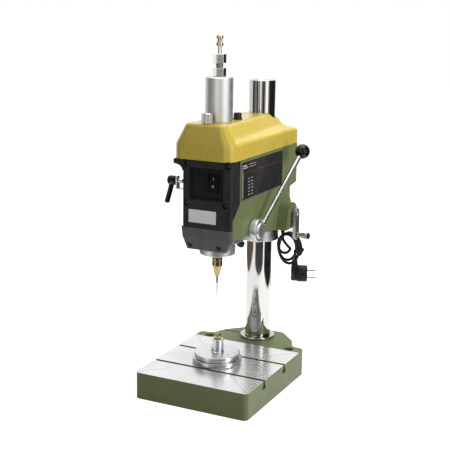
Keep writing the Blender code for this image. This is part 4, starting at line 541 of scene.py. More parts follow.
def merged_copy(node):
    """A solid's mesh without its doubles and with its flat faces whole."""
    shape = bmesh.new()
    shape.from_mesh(nodes[node].data)
    bmesh.ops.remove_doubles(shape, verts=shape.verts, dist=MERGE)
    bmesh.ops.dissolve_limit(shape, angle_limit=FLAT_ANGLE, verts=shape.verts, edges=shape.edges)
    return from_bmesh(shape, node + "_fine")


def with_rounded_edges(mesh, name, width, segments=3, angle=EDGE_ANGLE):
    shape = new_object(name, mesh)
    edge = shape.modifiers.new("Edges", "BEVEL")
    edge.width = width
    edge.segments = segments
    edge.limit_method = "ANGLE"
    edge.angle_limit = angle
    edge.use_clamp_overlap = True
    edge.harden_normals = False
    normals = shape.modifiers.new("Normals", "WEIGHTED_NORMAL")
    normals.keep_sharp = True
    return settled_mesh(shape, name)


def soften(node, width, material=None):
    """A copy of a solid with rounded edges takes the solid's place."""
    stand_in(node, with_rounded_edges(shaded(merged_copy(node)), node + "_fine", width), material)


def combined(name, operation, first, *others):
    """One mesh, with others joined to it (UNION) or cut out of it (DIFFERENCE)."""
    body = new_object(name, first)
    tools = [new_object(name + "_tool", mesh) for mesh in others]
    for tool in tools:
        step = body.modifiers.new("Boolean", "BOOLEAN")
        step.operation = operation
        step.solver = "EXACT"
        step.object = tool
    mesh = settled_mesh(body, name)
    for tool in tools:
        bpy.data.objects.remove(tool, do_unlink=True)
    return shaded(mesh)


def tube_mesh(name, route, radius, rings):
    line = bpy.data.curves.new(name, "CURVE")
    line.dimensions = "3D"
    line.bevel_depth = radius
    line.bevel_resolution = rings
    line.use_fill_caps = True
    spline = line.splines.new("POLY")
    spline.points.add(len(route) - 1)
    for point, place in zip(spline.points, route):
        point.co = (*place, 1)
    return cleaned(settled_mesh(new_object(name, line), name))


def spans(node):
    """Centre, radius, bottom and top of a round upright solid."""
    low, high = corners_of(node)
    return ((low.x + high.x) / 2, (low.y + high.y) / 2, 0), (high.x - low.x) / 2, low.z, high.z


def lying(node):
    """Centre, radius, left end and right end of a round solid that lies along X."""
    low, high = corners_of(node)
    return (0, (low.y + high.y) / 2, (low.z + high.z) / 2), (high.z - low.z) / 2, low.x, high.x


# %% [markdown]
# The power cord comes first, because its room in the picture is checked. It leaves a gland under the head,
# drops into a hank of three loops held by a tie, and ends in an angled two-pin plug. The lead and the tail are
# listed points, and the loops come from a formula, as in the model.

# %% Power cord
CORD_RADIUS = 0.0025
CORD_RINGS = 5
LOOP_X = 0.0520
LOOP_TOP = 0.2370
LOOP_FIRST_HALF_WIDTH = 0.0125
LOOP_LAST_HALF_WIDTH = 0.0205
LOOP_FIRST_HALF_HEIGHT = 0.0125
LOOP_LAST_HALF_HEIGHT = 0.0295
LOOP_START_Y = 0.1585
LOOP_PITCH = 0.0074
LOOP_TURNS = 3
LOOP_POINTS = 24
LOOP_START_ANGLE = math.radians(135)
LOOP_END_ANGLE = math.radians(80)
FINER = 3
LEAD_ROUTE = ((0.0470, 0.1553, 0.2402), (0.0470, 0.1553, 0.2345), (0.0485, 0.1555, 0.2285),
              (0.0525, 0.1563, 0.2225), (0.0572, 0.1572, 0.2175), (0.0608, 0.1580, 0.2138))
TAIL_ROUTE = ((0.0728, 0.1806, 0.2070), (0.0712, 0.1825, 0.2015), (0.0668, 0.1845, 0.1972),
              (0.0620, 0.1861, 0.1944), (0.0580, 0.1868, 0.1903), (0.0580, 0.1868, 0.1873))
SPAN_STEPS = 6


def smooth_route(route, per_span):
    """Points on a smooth curve through the route's own points."""
    places = [Vector(place) for place in route]
    points = [places[0]]
    for i in range(len(places) - 1):
        p0 = places[max(i - 1, 0)]
        p1 = places[i]
        p2 = places[i + 1]
        p3 = places[min(i + 2, len(places) - 1)]
        for step in range(1, per_span + 1):
            t = step / per_span
            points.append((p1 * 2 + (p2 - p0) * t + (p0 * 2 - p1 * 5 + p2 * 4 - p3) * t * t
                           + (p1 * 3 - p0 - p2 * 3 + p3) * t * t * t) / 2)
    return points


def cord_route():
    total = 2 * math.pi * LOOP_TURNS - LOOP_START_ANGLE + LOOP_END_ANGLE
    steps = round(total / (2 * math.pi) * LOOP_POINTS) * FINER
    loops = []
    for step in range(steps + 1):
        angle = LOOP_START_ANGLE + total * step / steps
        rise = total * step / steps / (2 * math.pi) * LOOP_PITCH
        grown = math.sqrt(step / steps)
        half_width = LOOP_FIRST_HALF_WIDTH + (LOOP_LAST_HALF_WIDTH - LOOP_FIRST_HALF_WIDTH) * grown
        half_height = LOOP_FIRST_HALF_HEIGHT + (LOOP_LAST_HALF_HEIGHT - LOOP_FIRST_HALF_HEIGHT) * grown
        loops.append(Vector((LOOP_X + half_width * math.sin(angle), LOOP_START_Y + rise,
                             LOOP_TOP - half_height + half_height * math.cos(angle))))
    lead = smooth_route([*LEAD_ROUTE[1:], loops[FINER], loops[2 * FINER]], SPAN_STEPS)[:-SPAN_STEPS]
    tail = smooth_route([loops[-1 - FINER], loops[-1], *TAIL_ROUTE[:-1]], SPAN_STEPS)[SPAN_STEPS + 1:]
    return [Vector(LEAD_ROUTE[0])] + lead + loops[FINER + 1:] + tail + [Vector(TAIL_ROUTE[-1])]


route = cord_route()
cord = stand_in("cord_loops", tube_mesh("cord", route, CORD_RADIUS, CORD_RINGS), name="cord")

# %% [markdown]
# The plug is moulded rubber: a round head with two pins, a domed back and a neck with three soft ribs that
# points up the cord. Its three forms overlap and are joined into one.

# %% Plug and its pins
PLUG_X = 0.058
PLUG_Y = 0.1868
PLUG_TOP = 0.1870
PLUG_TURN = math.radians(22)
PLUG_HEAD_Z = 0.1625
PLUG_NECK_RADIUS = 0.0062
PLUG_HEAD_RADIUS = 0.0147
PLUG_HEAD_BACK = 0.0040
PLUG_HEAD_FACE = 0.0227
PLUG_DOME_BACK = -0.0052
PIN_RADIUS = 0.0024
PIN_LENGTH = 0.0150
PIN_HALF_DY = 0.0085
PIN_HALF_DZ = 0.0040
plug_place = Matrix.Translation((PLUG_X, PLUG_Y, PLUG_HEAD_Z)) @ Matrix.Rotation(PLUG_TURN, 4, "Z")


def on_plug(mesh):
    mesh.transform(plug_place)
    return mesh


plug_head = on_plug(turned_mesh("plug_head", [
    (PLUG_HEAD_RADIUS - 0.001, PLUG_HEAD_FACE, 0.0008), (PLUG_HEAD_RADIUS, PLUG_HEAD_FACE - 0.0025, 0.0015),
    (PLUG_HEAD_RADIUS, PLUG_HEAD_BACK, 0.0022)], axis="X"))
plug_back = on_plug(turned_mesh("plug_back", [
    (PLUG_HEAD_RADIUS - 0.0012, PLUG_HEAD_BACK + 0.001, 0), (PLUG_HEAD_RADIUS - 0.0022, -0.0005, 0.003),
    (0.004, PLUG_DOME_BACK, 0.002)], axis="X"))
sole = PLUG_HEAD_Z - PLUG_HEAD_RADIUS + 0.0012
neck_corners = [(PLUG_NECK_RADIUS - 0.0018, PLUG_TOP, 0.0005)]
for rib in range(3):
    top = PLUG_TOP - 0.0014 - rib * 0.0030
    wide = PLUG_NECK_RADIUS - 0.0010 + rib * 0.0004
    neck_corners += [(wide - 0.0008, top, 0.0002), (wide, top - 0.0006, 0.0003), (wide, top - 0.0016, 0.0003),
                     (wide - 0.0008, top - 0.0022, 0.0002)]
neck_corners += [(PLUG_NECK_RADIUS, PLUG_TOP - 0.0120, 0.001), (PLUG_NECK_RADIUS, sole, 0.0042)]
plug_neck = turned_mesh("plug_neck", neck_corners, (PLUG_X, PLUG_Y, 0))
plug = stand_in("plug_body", combined("plug", "UNION", plug_head, plug_back, plug_neck), rubber, "plug")
for pin_node, side in (("plug_pin_a", -1), ("plug_pin_b", 1)):
    pin = turned_mesh(pin_node + "_fine", [
        (PIN_RADIUS, PLUG_HEAD_FACE + PIN_LENGTH, 0.0016), (PIN_RADIUS, PLUG_HEAD_FACE + 0.0003, 0)],
        axis="X", steps=32)
    pin.transform(Matrix.Translation((0, side * PIN_HALF_DY, side * PIN_HALF_DZ)))
    stand_in(pin_node, on_plug(pin), bright_rod)
print("plug turned by degrees:", round(math.degrees(PLUG_TURN)))

# %% [markdown]
# A small strap ties the hank. It is a long loop round the strands that it holds, seen from above, with the
# same loop drawn closer cut out of it. Where the strands run is read from the cord's own route.

# %% Cord tie
TIE_ROOM = 0.0006
TIE_WALL = 0.0012
TIE_TRIM = 0.001
tie_low, tie_high = corners_of("cord_tie")
held = [place for place in route if place.x > tie_low.x and tie_low.z < place.z < tie_high.z]
front_strand = min(held, key=lambda place: place.y).xy
rear_strand = max(held, key=lambda place: place.y).xy


def tie_outline(radius):
    ahead = (rear_strand - front_strand).normalized()
    aside = Vector((ahead.y, -ahead.x))
    front = front_strand - ahead * radius
    rear = rear_strand + ahead * radius
    corners = (front + aside * radius, rear + aside * radius, rear - aside * radius, front - aside * radius)
    return rounded([(*corner, radius * 0.98) for corner in corners], 8)


inside = CORD_RADIUS + TIE_ROOM
strap = sheet_mesh("strap", tie_outline(inside + TIE_WALL), "Z", tie_low.z + TIE_TRIM, tie_high.z - TIE_TRIM)
opening = sheet_mesh("opening", tie_outline(inside), "Z", tie_low.z, tie_high.z)
strap = combined("cord_tie_fine", "DIFFERENCE", strap, opening)
tie = stand_in("cord_tie", with_rounded_edges(strap, "cord_tie_fine", 0.0003, 2), black)
print("strands held at:", len(held), "points")

# %% [markdown]
# The gland where the cord leaves the housing is a tapered rubber sleeve. Its ribs let the cord bend softly
# instead of breaking at the edge. With it the cord is complete.

# %% Gland
gland_at, gland_radius, gland_low, gland_high = spans("cord_gland")
gland_corners = [(gland_radius, gland_high, 0.0004), (gland_radius, gland_high - 0.003, 0.0004)]
for rib in range(3):
    wide = gland_radius - 0.0006 - rib / 3 * (gland_radius - CORD_RADIUS - 0.0022)
    top = gland_high - 0.0034 - rib * 0.0028
    gland_corners += [(wide - 0.0006, top, 0.0002), (wide, top - 0.0007, 0.0003),
                      (wide - 0.0002, top - 0.0019, 0.0003), (wide - 0.0008, top - 0.0024, 0.0002)]
gland_corners.append((CORD_RADIUS + 0.0009, gland_low, 0.0003))
turned("cord_gland", gland_corners, (gland_at[0], LEAD_ROUTE[0][1], 0), name="gland")
print("gland length:", round(gland_high - gland_low, 4))

# %% [markdown]
# The base is the heaviest casting: a square table with two T-slots and a foot behind it that grips the
# column. A merged copy of the solid with rounded edges keeps its slots and holes true.

# %% Base casting
soften("base_casting", 0.0011, casting)

# %% [markdown]
# The column is a chromed steel tube with its rack let into a groove on the right side. A chromed ring covers
# the joint with the foot, and a satin plug with a shallow dish closes the top.

# %% Column, foot ring and end plug
RACK_ROOM = 0.0004
FINE_STEPS = 128
column_at, column_radius, column_low, column_high = spans("column_tube")
cap_radius, cap_low, cap_high = spans("column_cap")[1:]
column_mesh = turned_mesh("column", [
    (cap_radius, column_high, 0), (column_radius, column_high, 0.0012), (column_radius, column_low, 0.0005),
    (cap_radius, column_low, 0)], column_at, steps=FINE_STEPS, hollow=True)
rack_low, rack_high = corners_of("column_rack")
groove_outline = rectangle(rack_low.y - RACK_ROOM, rack_low.z - RACK_ROOM, rack_high.y + RACK_ROOM,
                           rack_high.z + RACK_ROOM)
groove = sheet_mesh("groove", groove_outline, "X", rack_low.x - RACK_ROOM, column_radius * 1.2)
stand_in("column_tube", combined("column", "DIFFERENCE", column_mesh, groove), name="column")
ring_radius, ring_low, ring_high = spans("column_flange")[1:]
ring_bore = column_radius + RACK_ROOM
turned("column_flange", [
    (ring_bore, ring_high, 0.0004), (ring_radius, ring_high, 0.0012), (ring_radius, ring_low, 0.0002),
    (ring_bore, ring_low, 0)], column_at, name="foot_ring", hollow=True)
turned("column_cap", [
    (cap_radius - 0.003, cap_high - 0.001, 0.0005), (cap_radius - 0.0025, cap_high, 0.0004),
    (cap_radius, cap_high, 0.0004), (cap_radius, cap_low, 0)], column_at, material=satin, name="column_end")
print("column radius:", round(column_radius, 4))

# %% [markdown]
# The work fixture that stands on the table is turned from aluminium: a base and a lid with a shadow gap
# between them, a post, and a brass tip. Fine facing rings on its lid come from the material.

# %% Work fixture
LID_HOLE = (0.022, -0.006)
LID_HOLE_RADIUS = 0.0016
POST_FOOT_SHARE = 1.15
at, radius, low, high = spans("fixture_base")
turned("fixture_base", [
    (radius - 0.006, high, 0.0002), (radius - 0.006, high - 0.0018, 0.0004), (radius, high - 0.0018, 0.0006),
    (radius, low + 0.0015, 0.0003), (radius - 0.0012, low, 0.0003)], at, material=bright_aluminium)
at, radius, low, high = spans("fixture_lid")
lid = turned_mesh("fixture_lid_fine", [
    (radius, high, 0.0009), (radius, low + 0.0022, 0.0002), (radius - 0.0008, low + 0.0016, 0.0002),
    (radius, low + 0.001, 0.0002), (radius, low, 0.0004)], at)
hole = turned_mesh("lid_hole", [(LID_HOLE_RADIUS, high + 0.001, 0), (LID_HOLE_RADIUS, high - 0.004, 0)],
                   (at[0] + LID_HOLE[0], at[1] + LID_HOLE[1], 0), steps=24)
stand_in("fixture_lid", combined("fixture_lid_fine", "DIFFERENCE", lid, hole), bright_aluminium)
at, radius, low, high = spans("fixture_post")
post_radius = radius / POST_FOOT_SHARE
turned("fixture_post", [
    (post_radius, high, 0.0011), (post_radius, low + 0.0014, 0.0006), (radius, low + 0.0006, 0.0003),
    (radius, low, 0)], at, material=bright_aluminium)
at, radius, low, high = spans("fixture_brass_tip")
turned("fixture_brass_tip", [
    (0, high, 0), (radius * 0.5, high - 0.0002, 0.001), (radius, high - 0.003, 0.0018),
    (radius, low + 0.0006, 0.0003), (radius - 0.0006, low, 0)], at, name="fixture_tip_fine")
print("fixture height:", round(high, 4))

# %% [markdown]
# The head is a green casting with a black front, a dark chin and a bare aluminium casting under it that
# carries the quill and grips the column. Its plain pieces are softened copies, each with the rounding that
# such a piece has.

# %% Head castings and plates
HEAD_PIECES = (
    ("head_housing", 0.0018, green), ("switch_frame", 0.0009, switch_black), ("rocker", 0.0008, switch_black),
    ("label_plate", 0.0002, label_paper), ("speed_plate", 0.0003, plate_black),
    ("stud_bracket", 0.0004, bright_rod),
)
for settings in HEAD_PIECES:
    soften(*settings)
print("softened pieces of the head:", len(HEAD_PIECES))

# %% [markdown]
# The front panel has deep round recesses for its four screws, and the chin has two. The recesses are cut
# with cones. Round the two right ones stand low bosses.

# %% Front panel and chin with their recesses
PANEL_HOLES = ((-0.0297, 0.3840), (0.0415, 0.3850), (-0.0301, 0.3224), (0.0379, 0.3236))
CHIN_HOLES = ((-0.0285, -0.0411, 0.2535), (0.0225, -0.0411, 0.2535))
CHIN_SLOPE = math.radians(32)
RECESS_MOUTH = 0.0049
RECESS_FLOOR = 0.0038
RECESS_DEPTH = 0.0032
BOSS_RADIUS = 0.0074
BOSS_HEIGHT = 0.0008
panel_face = corners_of("front_panel")[0].y


def facing_front(mesh, x, y, z, tilt=0.0):
    """Turn a piece made along +Z so that it looks out of the front, along -Y, and tilts down if asked."""
    mesh.transform(Matrix.Translation((x, y, z)) @ Matrix.Rotation(math.radians(90) + tilt, 4, "X"))
    return mesh


def recess():
    return turned_mesh("recess", [
        (RECESS_MOUTH * 1.05, RECESS_DEPTH / 4, 0), (RECESS_FLOOR, -RECESS_DEPTH, 0.0006)], steps=32)


cutters = [facing_front(recess(), x, panel_face, z) for x, z in PANEL_HOLES]
panel_mesh = combined("front_panel_fine", "DIFFERENCE", merged_copy("front_panel"), *cutters)
stand_in("front_panel", with_rounded_edges(panel_mesh, "front_panel_fine", 0.0009))
for hole, (x, z) in enumerate(PANEL_HOLES):
    if x > 0:
        boss = turned_mesh("panel_boss", [
            (RECESS_MOUTH, BOSS_HEIGHT, 0.0003), (BOSS_RADIUS - 0.001, BOSS_HEIGHT, 0.0005),
            (BOSS_RADIUS, 0, 0), (BOSS_RADIUS, -0.001, 0), (RECESS_MOUTH, -0.001, 0)], steps=48, hollow=True)
        facing_front(boss, x, panel_face, z)
        place_piece("panel_boss_%d" % hole, boss, black, "head", "black_plastic")
cutters = [facing_front(recess(), *hole, CHIN_SLOPE) for hole in CHIN_HOLES]
chin_mesh = combined("chin_cover_fine", "DIFFERENCE", merged_copy("chin_cover"), *cutters)
stand_in("chin_cover", with_rounded_edges(chin_mesh, "chin_cover_fine", 0.0014))
print("recesses:", len(PANEL_HOLES) + len(CHIN_HOLES))

# %% [markdown]
# What repeats is set out by Geometry Nodes. One recipe starts every such tree: copies on points, made real
# and given a finish, with named inputs. The first tree puts any object on the points of a mesh.

# %% Trees for what repeats


def started_tree(name, *sockets):
    """A tree with named inputs, and the nodes that a user of it still has to feed."""
    tree = bpy.data.node_groups.new(name, "GeometryNodeTree")
    inputs = {}
    for title, kind in (("Geometry", "Geometry"), *sockets, ("Finish", "Material")):
        made = tree.interface.new_socket(title, in_out="INPUT", socket_type="NodeSocket" + kind)
        inputs[title] = made.identifier
    tree.interface.new_socket("Geometry", in_out="OUTPUT", socket_type="NodeSocketGeometry")
    given, spots, copy, real, coat, result = (tree.nodes.new(kind) for kind in (
        "NodeGroupInput", "GeometryNodeMeshToPoints", "GeometryNodeInstanceOnPoints",
        "GeometryNodeRealizeInstances", "GeometryNodeSetMaterial", "NodeGroupOutput"))
    wire(tree, (spots, "Points", copy, "Points"), (copy, "Instances", real, "Geometry"),
         (real, "Geometry", coat, "Geometry"), (given, "Finish", coat, "Material"),
         (coat, "Geometry", result, "Geometry"))
    return tree, inputs, given, spots, copy


def tree_mesh(name, mesh, tree, inputs, **values):
    """The plain mesh that a tree makes with its inputs set."""
    holder = new_object(name, mesh)
    step = holder.modifiers.new("Tree", "NODES")
    step.node_group = tree
    for title, value in values.items():
        step[inputs[title]] = value
    return shaded(settled_mesh(holder, name))


COPIES, COPIES_INPUTS, given, spots, copy = started_tree("copies", ("Item", "Object"), ("Size", "Float"))
info = COPIES.nodes.new("GeometryNodeObjectInfo")
wire(COPIES, (given, "Geometry", spots, "Mesh"), (given, "Item", info, "Object"),
     (info, "Geometry", copy, "Instance"), (given, "Size", copy, "Scale"))


def copies(name, item_mesh, points, finish, slot):
    item = new_object(name + "_item", item_mesh)
    mesh = bpy.data.meshes.new(name)
    mesh.from_pydata(points, [], [])
    made = tree_mesh(name, mesh, COPIES, COPIES_INPUTS, Item=item, Finish=finish, Size=1.0)
    bpy.data.objects.remove(item, do_unlink=True)
    return place_piece(name, made, finish, "head", slot)


print("inputs of the tree:", *COPIES_INPUTS)

# %% [markdown]
# All the screws of the front are one blackened cross-head screw. The panel's four stand square, so they are
# copies on the recess points. The chin's two are tilted, and are placed one by one.

# %% Screws of the front
SCREW_RADIUS = 0.0032
SCREW_HEIGHT = 0.0012
CROSS_LONG = SCREW_RADIUS * 0.55
CROSS_THIN = SCREW_RADIUS * 0.16


def screw_mesh():
    head = turned_mesh("screw", [
        (SCREW_RADIUS * 0.6, SCREW_HEIGHT, 0.001), (SCREW_RADIUS, SCREW_HEIGHT * 0.35, 0.0004),
        (SCREW_RADIUS, -SCREW_HEIGHT, 0)], steps=32)
    arms = [sheet_mesh("arm", rectangle(-x, -y, x, y), "Z", SCREW_HEIGHT * 0.3, SCREW_HEIGHT * 2)
            for x, y in ((CROSS_LONG, CROSS_THIN), (CROSS_THIN, CROSS_LONG))]
    return combined("screw", "DIFFERENCE", head, *arms)


screw_points = [(x, panel_face + RECESS_DEPTH, z) for x, z in PANEL_HOLES]
copies("panel_screws", facing_front(screw_mesh(), 0, 0, 0), screw_points, dark_steel, "machined_steel")
inward = Vector((0, math.cos(CHIN_SLOPE), math.sin(CHIN_SLOPE))) * RECESS_DEPTH
for side, hole in enumerate(CHIN_HOLES):
    chin_screw = facing_front(screw_mesh(), *(Vector(hole) + inward), CHIN_SLOPE)
    place_piece("chin_screw_%d" % side, chin_screw, dark_steel, "head", "machined_steel")
print("front screws:", len(PANEL_HOLES) + len(CHIN_HOLES))

# %% [markdown]
# The switch wears a plain I over an O, which are generic marks. Both are thin raised prints on the rocker,
# turned with its face about its pivot.

# %% Marks on the rocker
ROCKER_TILT = math.radians(8)
ROCKER_FACE_Y = -0.0495
ROCKER_PIVOT_Y = -0.048
ROCKER_Z = 0.3575
PRINT_THICKNESS = 0.00012
rocker_low, rocker_high = corners_of("rocker")
rocker_x = (rocker_low.x + rocker_high.x) / 2


def mark_on_rocker(name, mesh):
    pivot = Matrix.Translation((rocker_x, ROCKER_PIVOT_Y, ROCKER_Z))
    mesh.transform(pivot @ Matrix.Rotation(-ROCKER_TILT, 4, "X") @ pivot.inverted())
    place_piece(name, mesh, mark_white, "switch", "white_label")


bar = rectangle(rocker_x - 0.0004, ROCKER_Z + 0.0035, rocker_x + 0.0004, ROCKER_Z + 0.0075, 0.0002)
mark_on_rocker("mark_on", sheet_mesh("mark_on", bar, "Y", ROCKER_FACE_Y - PRINT_THICKNESS,
                                     ROCKER_FACE_Y + PRINT_THICKNESS))
ring = turned_mesh("mark_off", [
    (0.0011, PRINT_THICKNESS, 0), (0.0019, PRINT_THICKNESS, 0), (0.0019, -PRINT_THICKNESS, 0),
    (0.0011, -PRINT_THICKNESS, 0)], steps=32, hollow=True)
mark_on_rocker("mark_off", facing_front(ring, rocker_x, ROCKER_FACE_Y, ROCKER_Z - 0.0055))
print("rocker at x:", round(rocker_x, 4))

# %% [markdown]
# The black plate on the right side is printed with a plain chart: two fine columns of short pale strokes,
# pale rules and bars, and a red rule. It carries no words. The strokes are copies set out by Geometry Nodes.

# %% Chart on the side plate
STROKE_ROWS = 6
STROKE_COLUMNS = (0.16, 0.23)
STROKE_HALF_LENGTH = 0.0030
STROKE_HALF_HEIGHT = 0.0005
(_, y0, z0), (plate_face, y1, z1) = corners_of("speed_plate")
stroke = sheet_mesh("stroke", rectangle(-STROKE_HALF_LENGTH, -STROKE_HALF_HEIGHT, STROKE_HALF_LENGTH,
                                        STROKE_HALF_HEIGHT, 0.0002), "X", -PRINT_THICKNESS, PRINT_THICKNESS)
stroke_points = [(plate_face, y0 + (y1 - y0) * share, z0 + 0.006 + row * 0.0052)
                 for row in range(STROKE_ROWS) for share in STROKE_COLUMNS]
copies("chart_strokes", stroke, stroke_points, mark_white, "white_label")
rule_z = z1 - 0.0165
PRINTS = (
    ("chart_rule", y0 + 0.003, rule_z, y1 - 0.003, rule_z + 0.0006, 0.0002),
    ("chart_upright", y0 + 0.0035, z0 + 0.003, y0 + 0.0041, rule_z - 0.001, 0.0002),
    ("chart_edge", y0 + 0.0006, z0 + 0.002, y0 + 0.0016, z1 - 0.002, 0.0003),
    ("chart_block_0", y0 + 0.004, z1 - 0.0068, y0 + 0.016, z1 - 0.0045, 0.0003),
    ("chart_block_1", y0 + 0.004, z1 - 0.0097, y0 + 0.020, z1 - 0.0085, 0.0003),
    ("chart_block_2", y0 + 0.024, z1 - 0.0052, y0 + 0.050, z1 - 0.0045, 0.0003),
    ("chart_block_3", y0 + 0.024, z1 - 0.0091, y0 + 0.050, z1 - 0.0085, 0.0003),
)
under, over = plate_face - PRINT_THICKNESS, plate_face + PRINT_THICKNESS
for name, *outline in PRINTS:
    mesh = sheet_mesh(name, rectangle(*outline), "X", under, over)
    ink, slot = (mark_red, "black_plate") if name == "chart_rule" else (mark_white, "white_label")
    place_piece(name, mesh, ink, "head", slot)
print("prints on the plate:", len(stroke_points) + len(PRINTS))

# %% [markdown]
# The bare casting under the head shows three machined forms: a flat strip, with a tunnel for the feed shaft,
# the round neck round the quill, and the round collar on the column, which is slit so that it can grip.

# %% Bare lower casting
STRIP_LOW = 0.2615
STRIP_HIGH = 0.2665
STRIP_FRONT = -0.0305
STRIP_SHOULDER = 0.001
STRIP_REAR = 0.045
STRIP_WAIST = 0.0043
SHAFT_ROOM = 0.001
NECK_RADIUS = 0.0290
NECK_BOTTOM = 0.234
NECK_TOP = STRIP_HIGH + 0.004
SLIDING_ROOM = 0.0004
COLLAR_RADIUS = 0.0335
COLLAR_TOP = 0.300
SLEEVE_RADIUS = 0.0305
SLEEVE_BOTTOM = 0.2529
SLIT_OUTLINE = rectangle(0.0175, 0.1250, 0.0185, 0.1450)
SLIT_TOP = 0.2520
(left, _, lower_z), (right, _, _) = corners_of("head_frame")
strip = sheet_mesh("strip", [
    (left, STRIP_FRONT), (right, STRIP_FRONT), (right, STRIP_SHOULDER), (right - STRIP_WAIST, STRIP_SHOULDER),
    (right - STRIP_WAIST, STRIP_REAR), (left + STRIP_WAIST, STRIP_REAR), (left + STRIP_WAIST, STRIP_SHOULDER),
    (left, STRIP_SHOULDER)], "Z", STRIP_LOW, STRIP_HIGH)
shaft_at, shaft_radius, shaft_left, shaft_right = lying("feed_shaft")
tunnel = turned_mesh("tunnel", [(shaft_radius + SHAFT_ROOM, shaft_right + SHAFT_ROOM, 0),
                                (shaft_radius + SHAFT_ROOM, shaft_left - SHAFT_ROOM, 0)], shaft_at, "X", 48)
strip = with_rounded_edges(combined("lower_strip", "DIFFERENCE", strip, tunnel), "lower_strip", 0.0006, 2)
stand_in("head_frame", strip, name="lower_strip")
neck_bore = spans("quill")[1] + SLIDING_ROOM
neck = turned_mesh("neck", [
    (neck_bore, NECK_TOP, 0), (NECK_RADIUS, NECK_TOP, 0), (NECK_RADIUS, NECK_BOTTOM, 0.0014),
    (neck_bore, NECK_BOTTOM, 0.0006)], hollow=True)
place_piece("quill_neck", neck, aluminium, "head", "bare_aluminium")
collar_bore = column_radius + SLIDING_ROOM
collar = turned_mesh("collar", [
    (collar_bore, COLLAR_TOP, 0), (SLEEVE_RADIUS, COLLAR_TOP, 0), (SLEEVE_RADIUS, SLEEVE_BOTTOM, 0),
    (COLLAR_RADIUS, SLEEVE_BOTTOM - 0.0002, 0.0006), (COLLAR_RADIUS, lower_z, 0.0014),
    (collar_bore, lower_z, 0.0006)], column_at, steps=FINE_STEPS, hollow=True)
slit = sheet_mesh("slit", SLIT_OUTLINE, "Z", lower_z - 0.001, SLIT_TOP)
place_piece("column_collar", combined("column_collar", "DIFFERENCE", collar, slit), aluminium, "head",
            "bare_aluminium")
print("collar bottom:", round(lower_z, 4))

# %% [markdown]
# The yellow belt cover is one smooth moulding. Its plan is a rounded box that turns into a narrower, tapered
# box at the top, so it is a loft: each level's plan is worked out from a row of key values, and every plan
# has the same number of points. The same loft, drawn closer, hollows it.

# %% Belt cover
# Each row: height, half width at the front and rear, front and rear edge, front and rear corner radius.
KEY_LEVELS = (
    (0.3912, 0.0488, 0.0488, -0.0518, 0.2090, 0.0160, 0.0060),
    (0.4105, 0.0488, 0.0488, -0.0518, 0.2090, 0.0160, 0.0060),
    (0.4130, 0.0487, 0.0486, -0.0517, 0.2086, 0.0160, 0.0060),
    (0.4155, 0.0483, 0.0476, -0.0515, 0.2070, 0.0160, 0.0060),
    (0.4180, 0.0474, 0.0440, -0.0512, 0.2020, 0.0159, 0.0060),
    (0.4205, 0.0462, 0.0380, -0.0507, 0.1940, 0.0157, 0.0060),
    (0.4235, 0.0447, 0.0325, -0.0502, 0.1878, 0.0153, 0.0060),
    (0.4265, 0.0431, 0.0292, -0.0497, 0.1842, 0.0148, 0.0060),
    (0.4300, 0.0411, 0.0272, -0.0490, 0.1820, 0.0142, 0.0057),
    (0.4400, 0.0356, 0.0208, -0.0472, 0.1750, 0.0118, 0.0052),
    (0.4428, 0.0340, 0.0190, -0.0464, 0.1730, 0.0108, 0.0050),
    (0.4448, 0.0324, 0.0172, -0.0450, 0.1708, 0.0095, 0.0048),
    (0.4460, 0.0302, 0.0150, -0.0430, 0.1685, 0.0080, 0.0040),
)
COVER_CORNER_STEPS = 10
COVER_WALL = 0.003
COVER_DROP = 0.0035
COVER_LEFT_EXTRA = 0.005
COVER_EDGE_ANGLE = math.radians(35)
SMALLEST_CORNER = 0.001
COLUMN_ROOM = 0.0015
TRAY_SCREW_AT = (0.0365, 0.1985, 0.4180)
(_, _, cover_low), (_, _, cover_high) = corners_of("belt_cover")


def cover_plan(level, inset):
    z, front_half, rear_half, front_y, rear_y, *radii = level
    front_corner, rear_corner = (max(radius - inset, SMALLEST_CORNER) for radius in radii)
    plan = rounded([
        (inset - front_half - COVER_LEFT_EXTRA, front_y + inset, front_corner),
        (front_half - inset, front_y + inset, front_corner), (rear_half - inset, rear_y - inset, rear_corner),
        (inset - rear_half - COVER_LEFT_EXTRA, rear_y - inset, rear_corner)], COVER_CORNER_STEPS)
    return [Vector((x, y, z)) for x, y in plan]


def cover_loft(name, inset=0.0, drop=0.0):
    shape = bmesh.new()
    rings = [[shape.verts.new(point - Vector((0, 0, drop))) for point in cover_plan(level, inset)]
             for level in KEY_LEVELS]
    for lower, upper in zip(rings, rings[1:]):
        for i in range(len(lower)):
            after = (i + 1) % len(lower)
            shape.faces.new((lower[i], lower[after], upper[after], upper[i]))
    shape.faces.new(list(reversed(rings[0])))
    shape.faces.new(rings[-1])
    bmesh.ops.recalc_face_normals(shape, faces=shape.faces)
    return from_bmesh(shape, name)


column_hole = turned_mesh("column_hole", [
    (column_radius + COLUMN_ROOM, cover_high + 0.01, 0), (column_radius + COLUMN_ROOM, cover_low - 0.01, 0)],
    column_at)
cover_mesh = combined("belt_cover_fine", "DIFFERENCE", cover_loft("belt_cover_fine"),
                      cover_loft("cover_inside", COVER_WALL, COVER_DROP), column_hole)
stand_in("belt_cover", with_rounded_edges(cover_mesh, "belt_cover_fine", 0.0012, 3, COVER_EDGE_ANGLE))
tray_screw = screw_mesh()
tray_screw.transform(Matrix.Translation(TRAY_SCREW_AT))
place_piece("tray_screw", tray_screw, dark_steel, "cover", "machined_steel")
print("cover levels:", len(KEY_LEVELS))

# %% [markdown]
# A knurl is a ring of fine straight ridges that a finger can grip. Its tree sets thin rods round a circle.

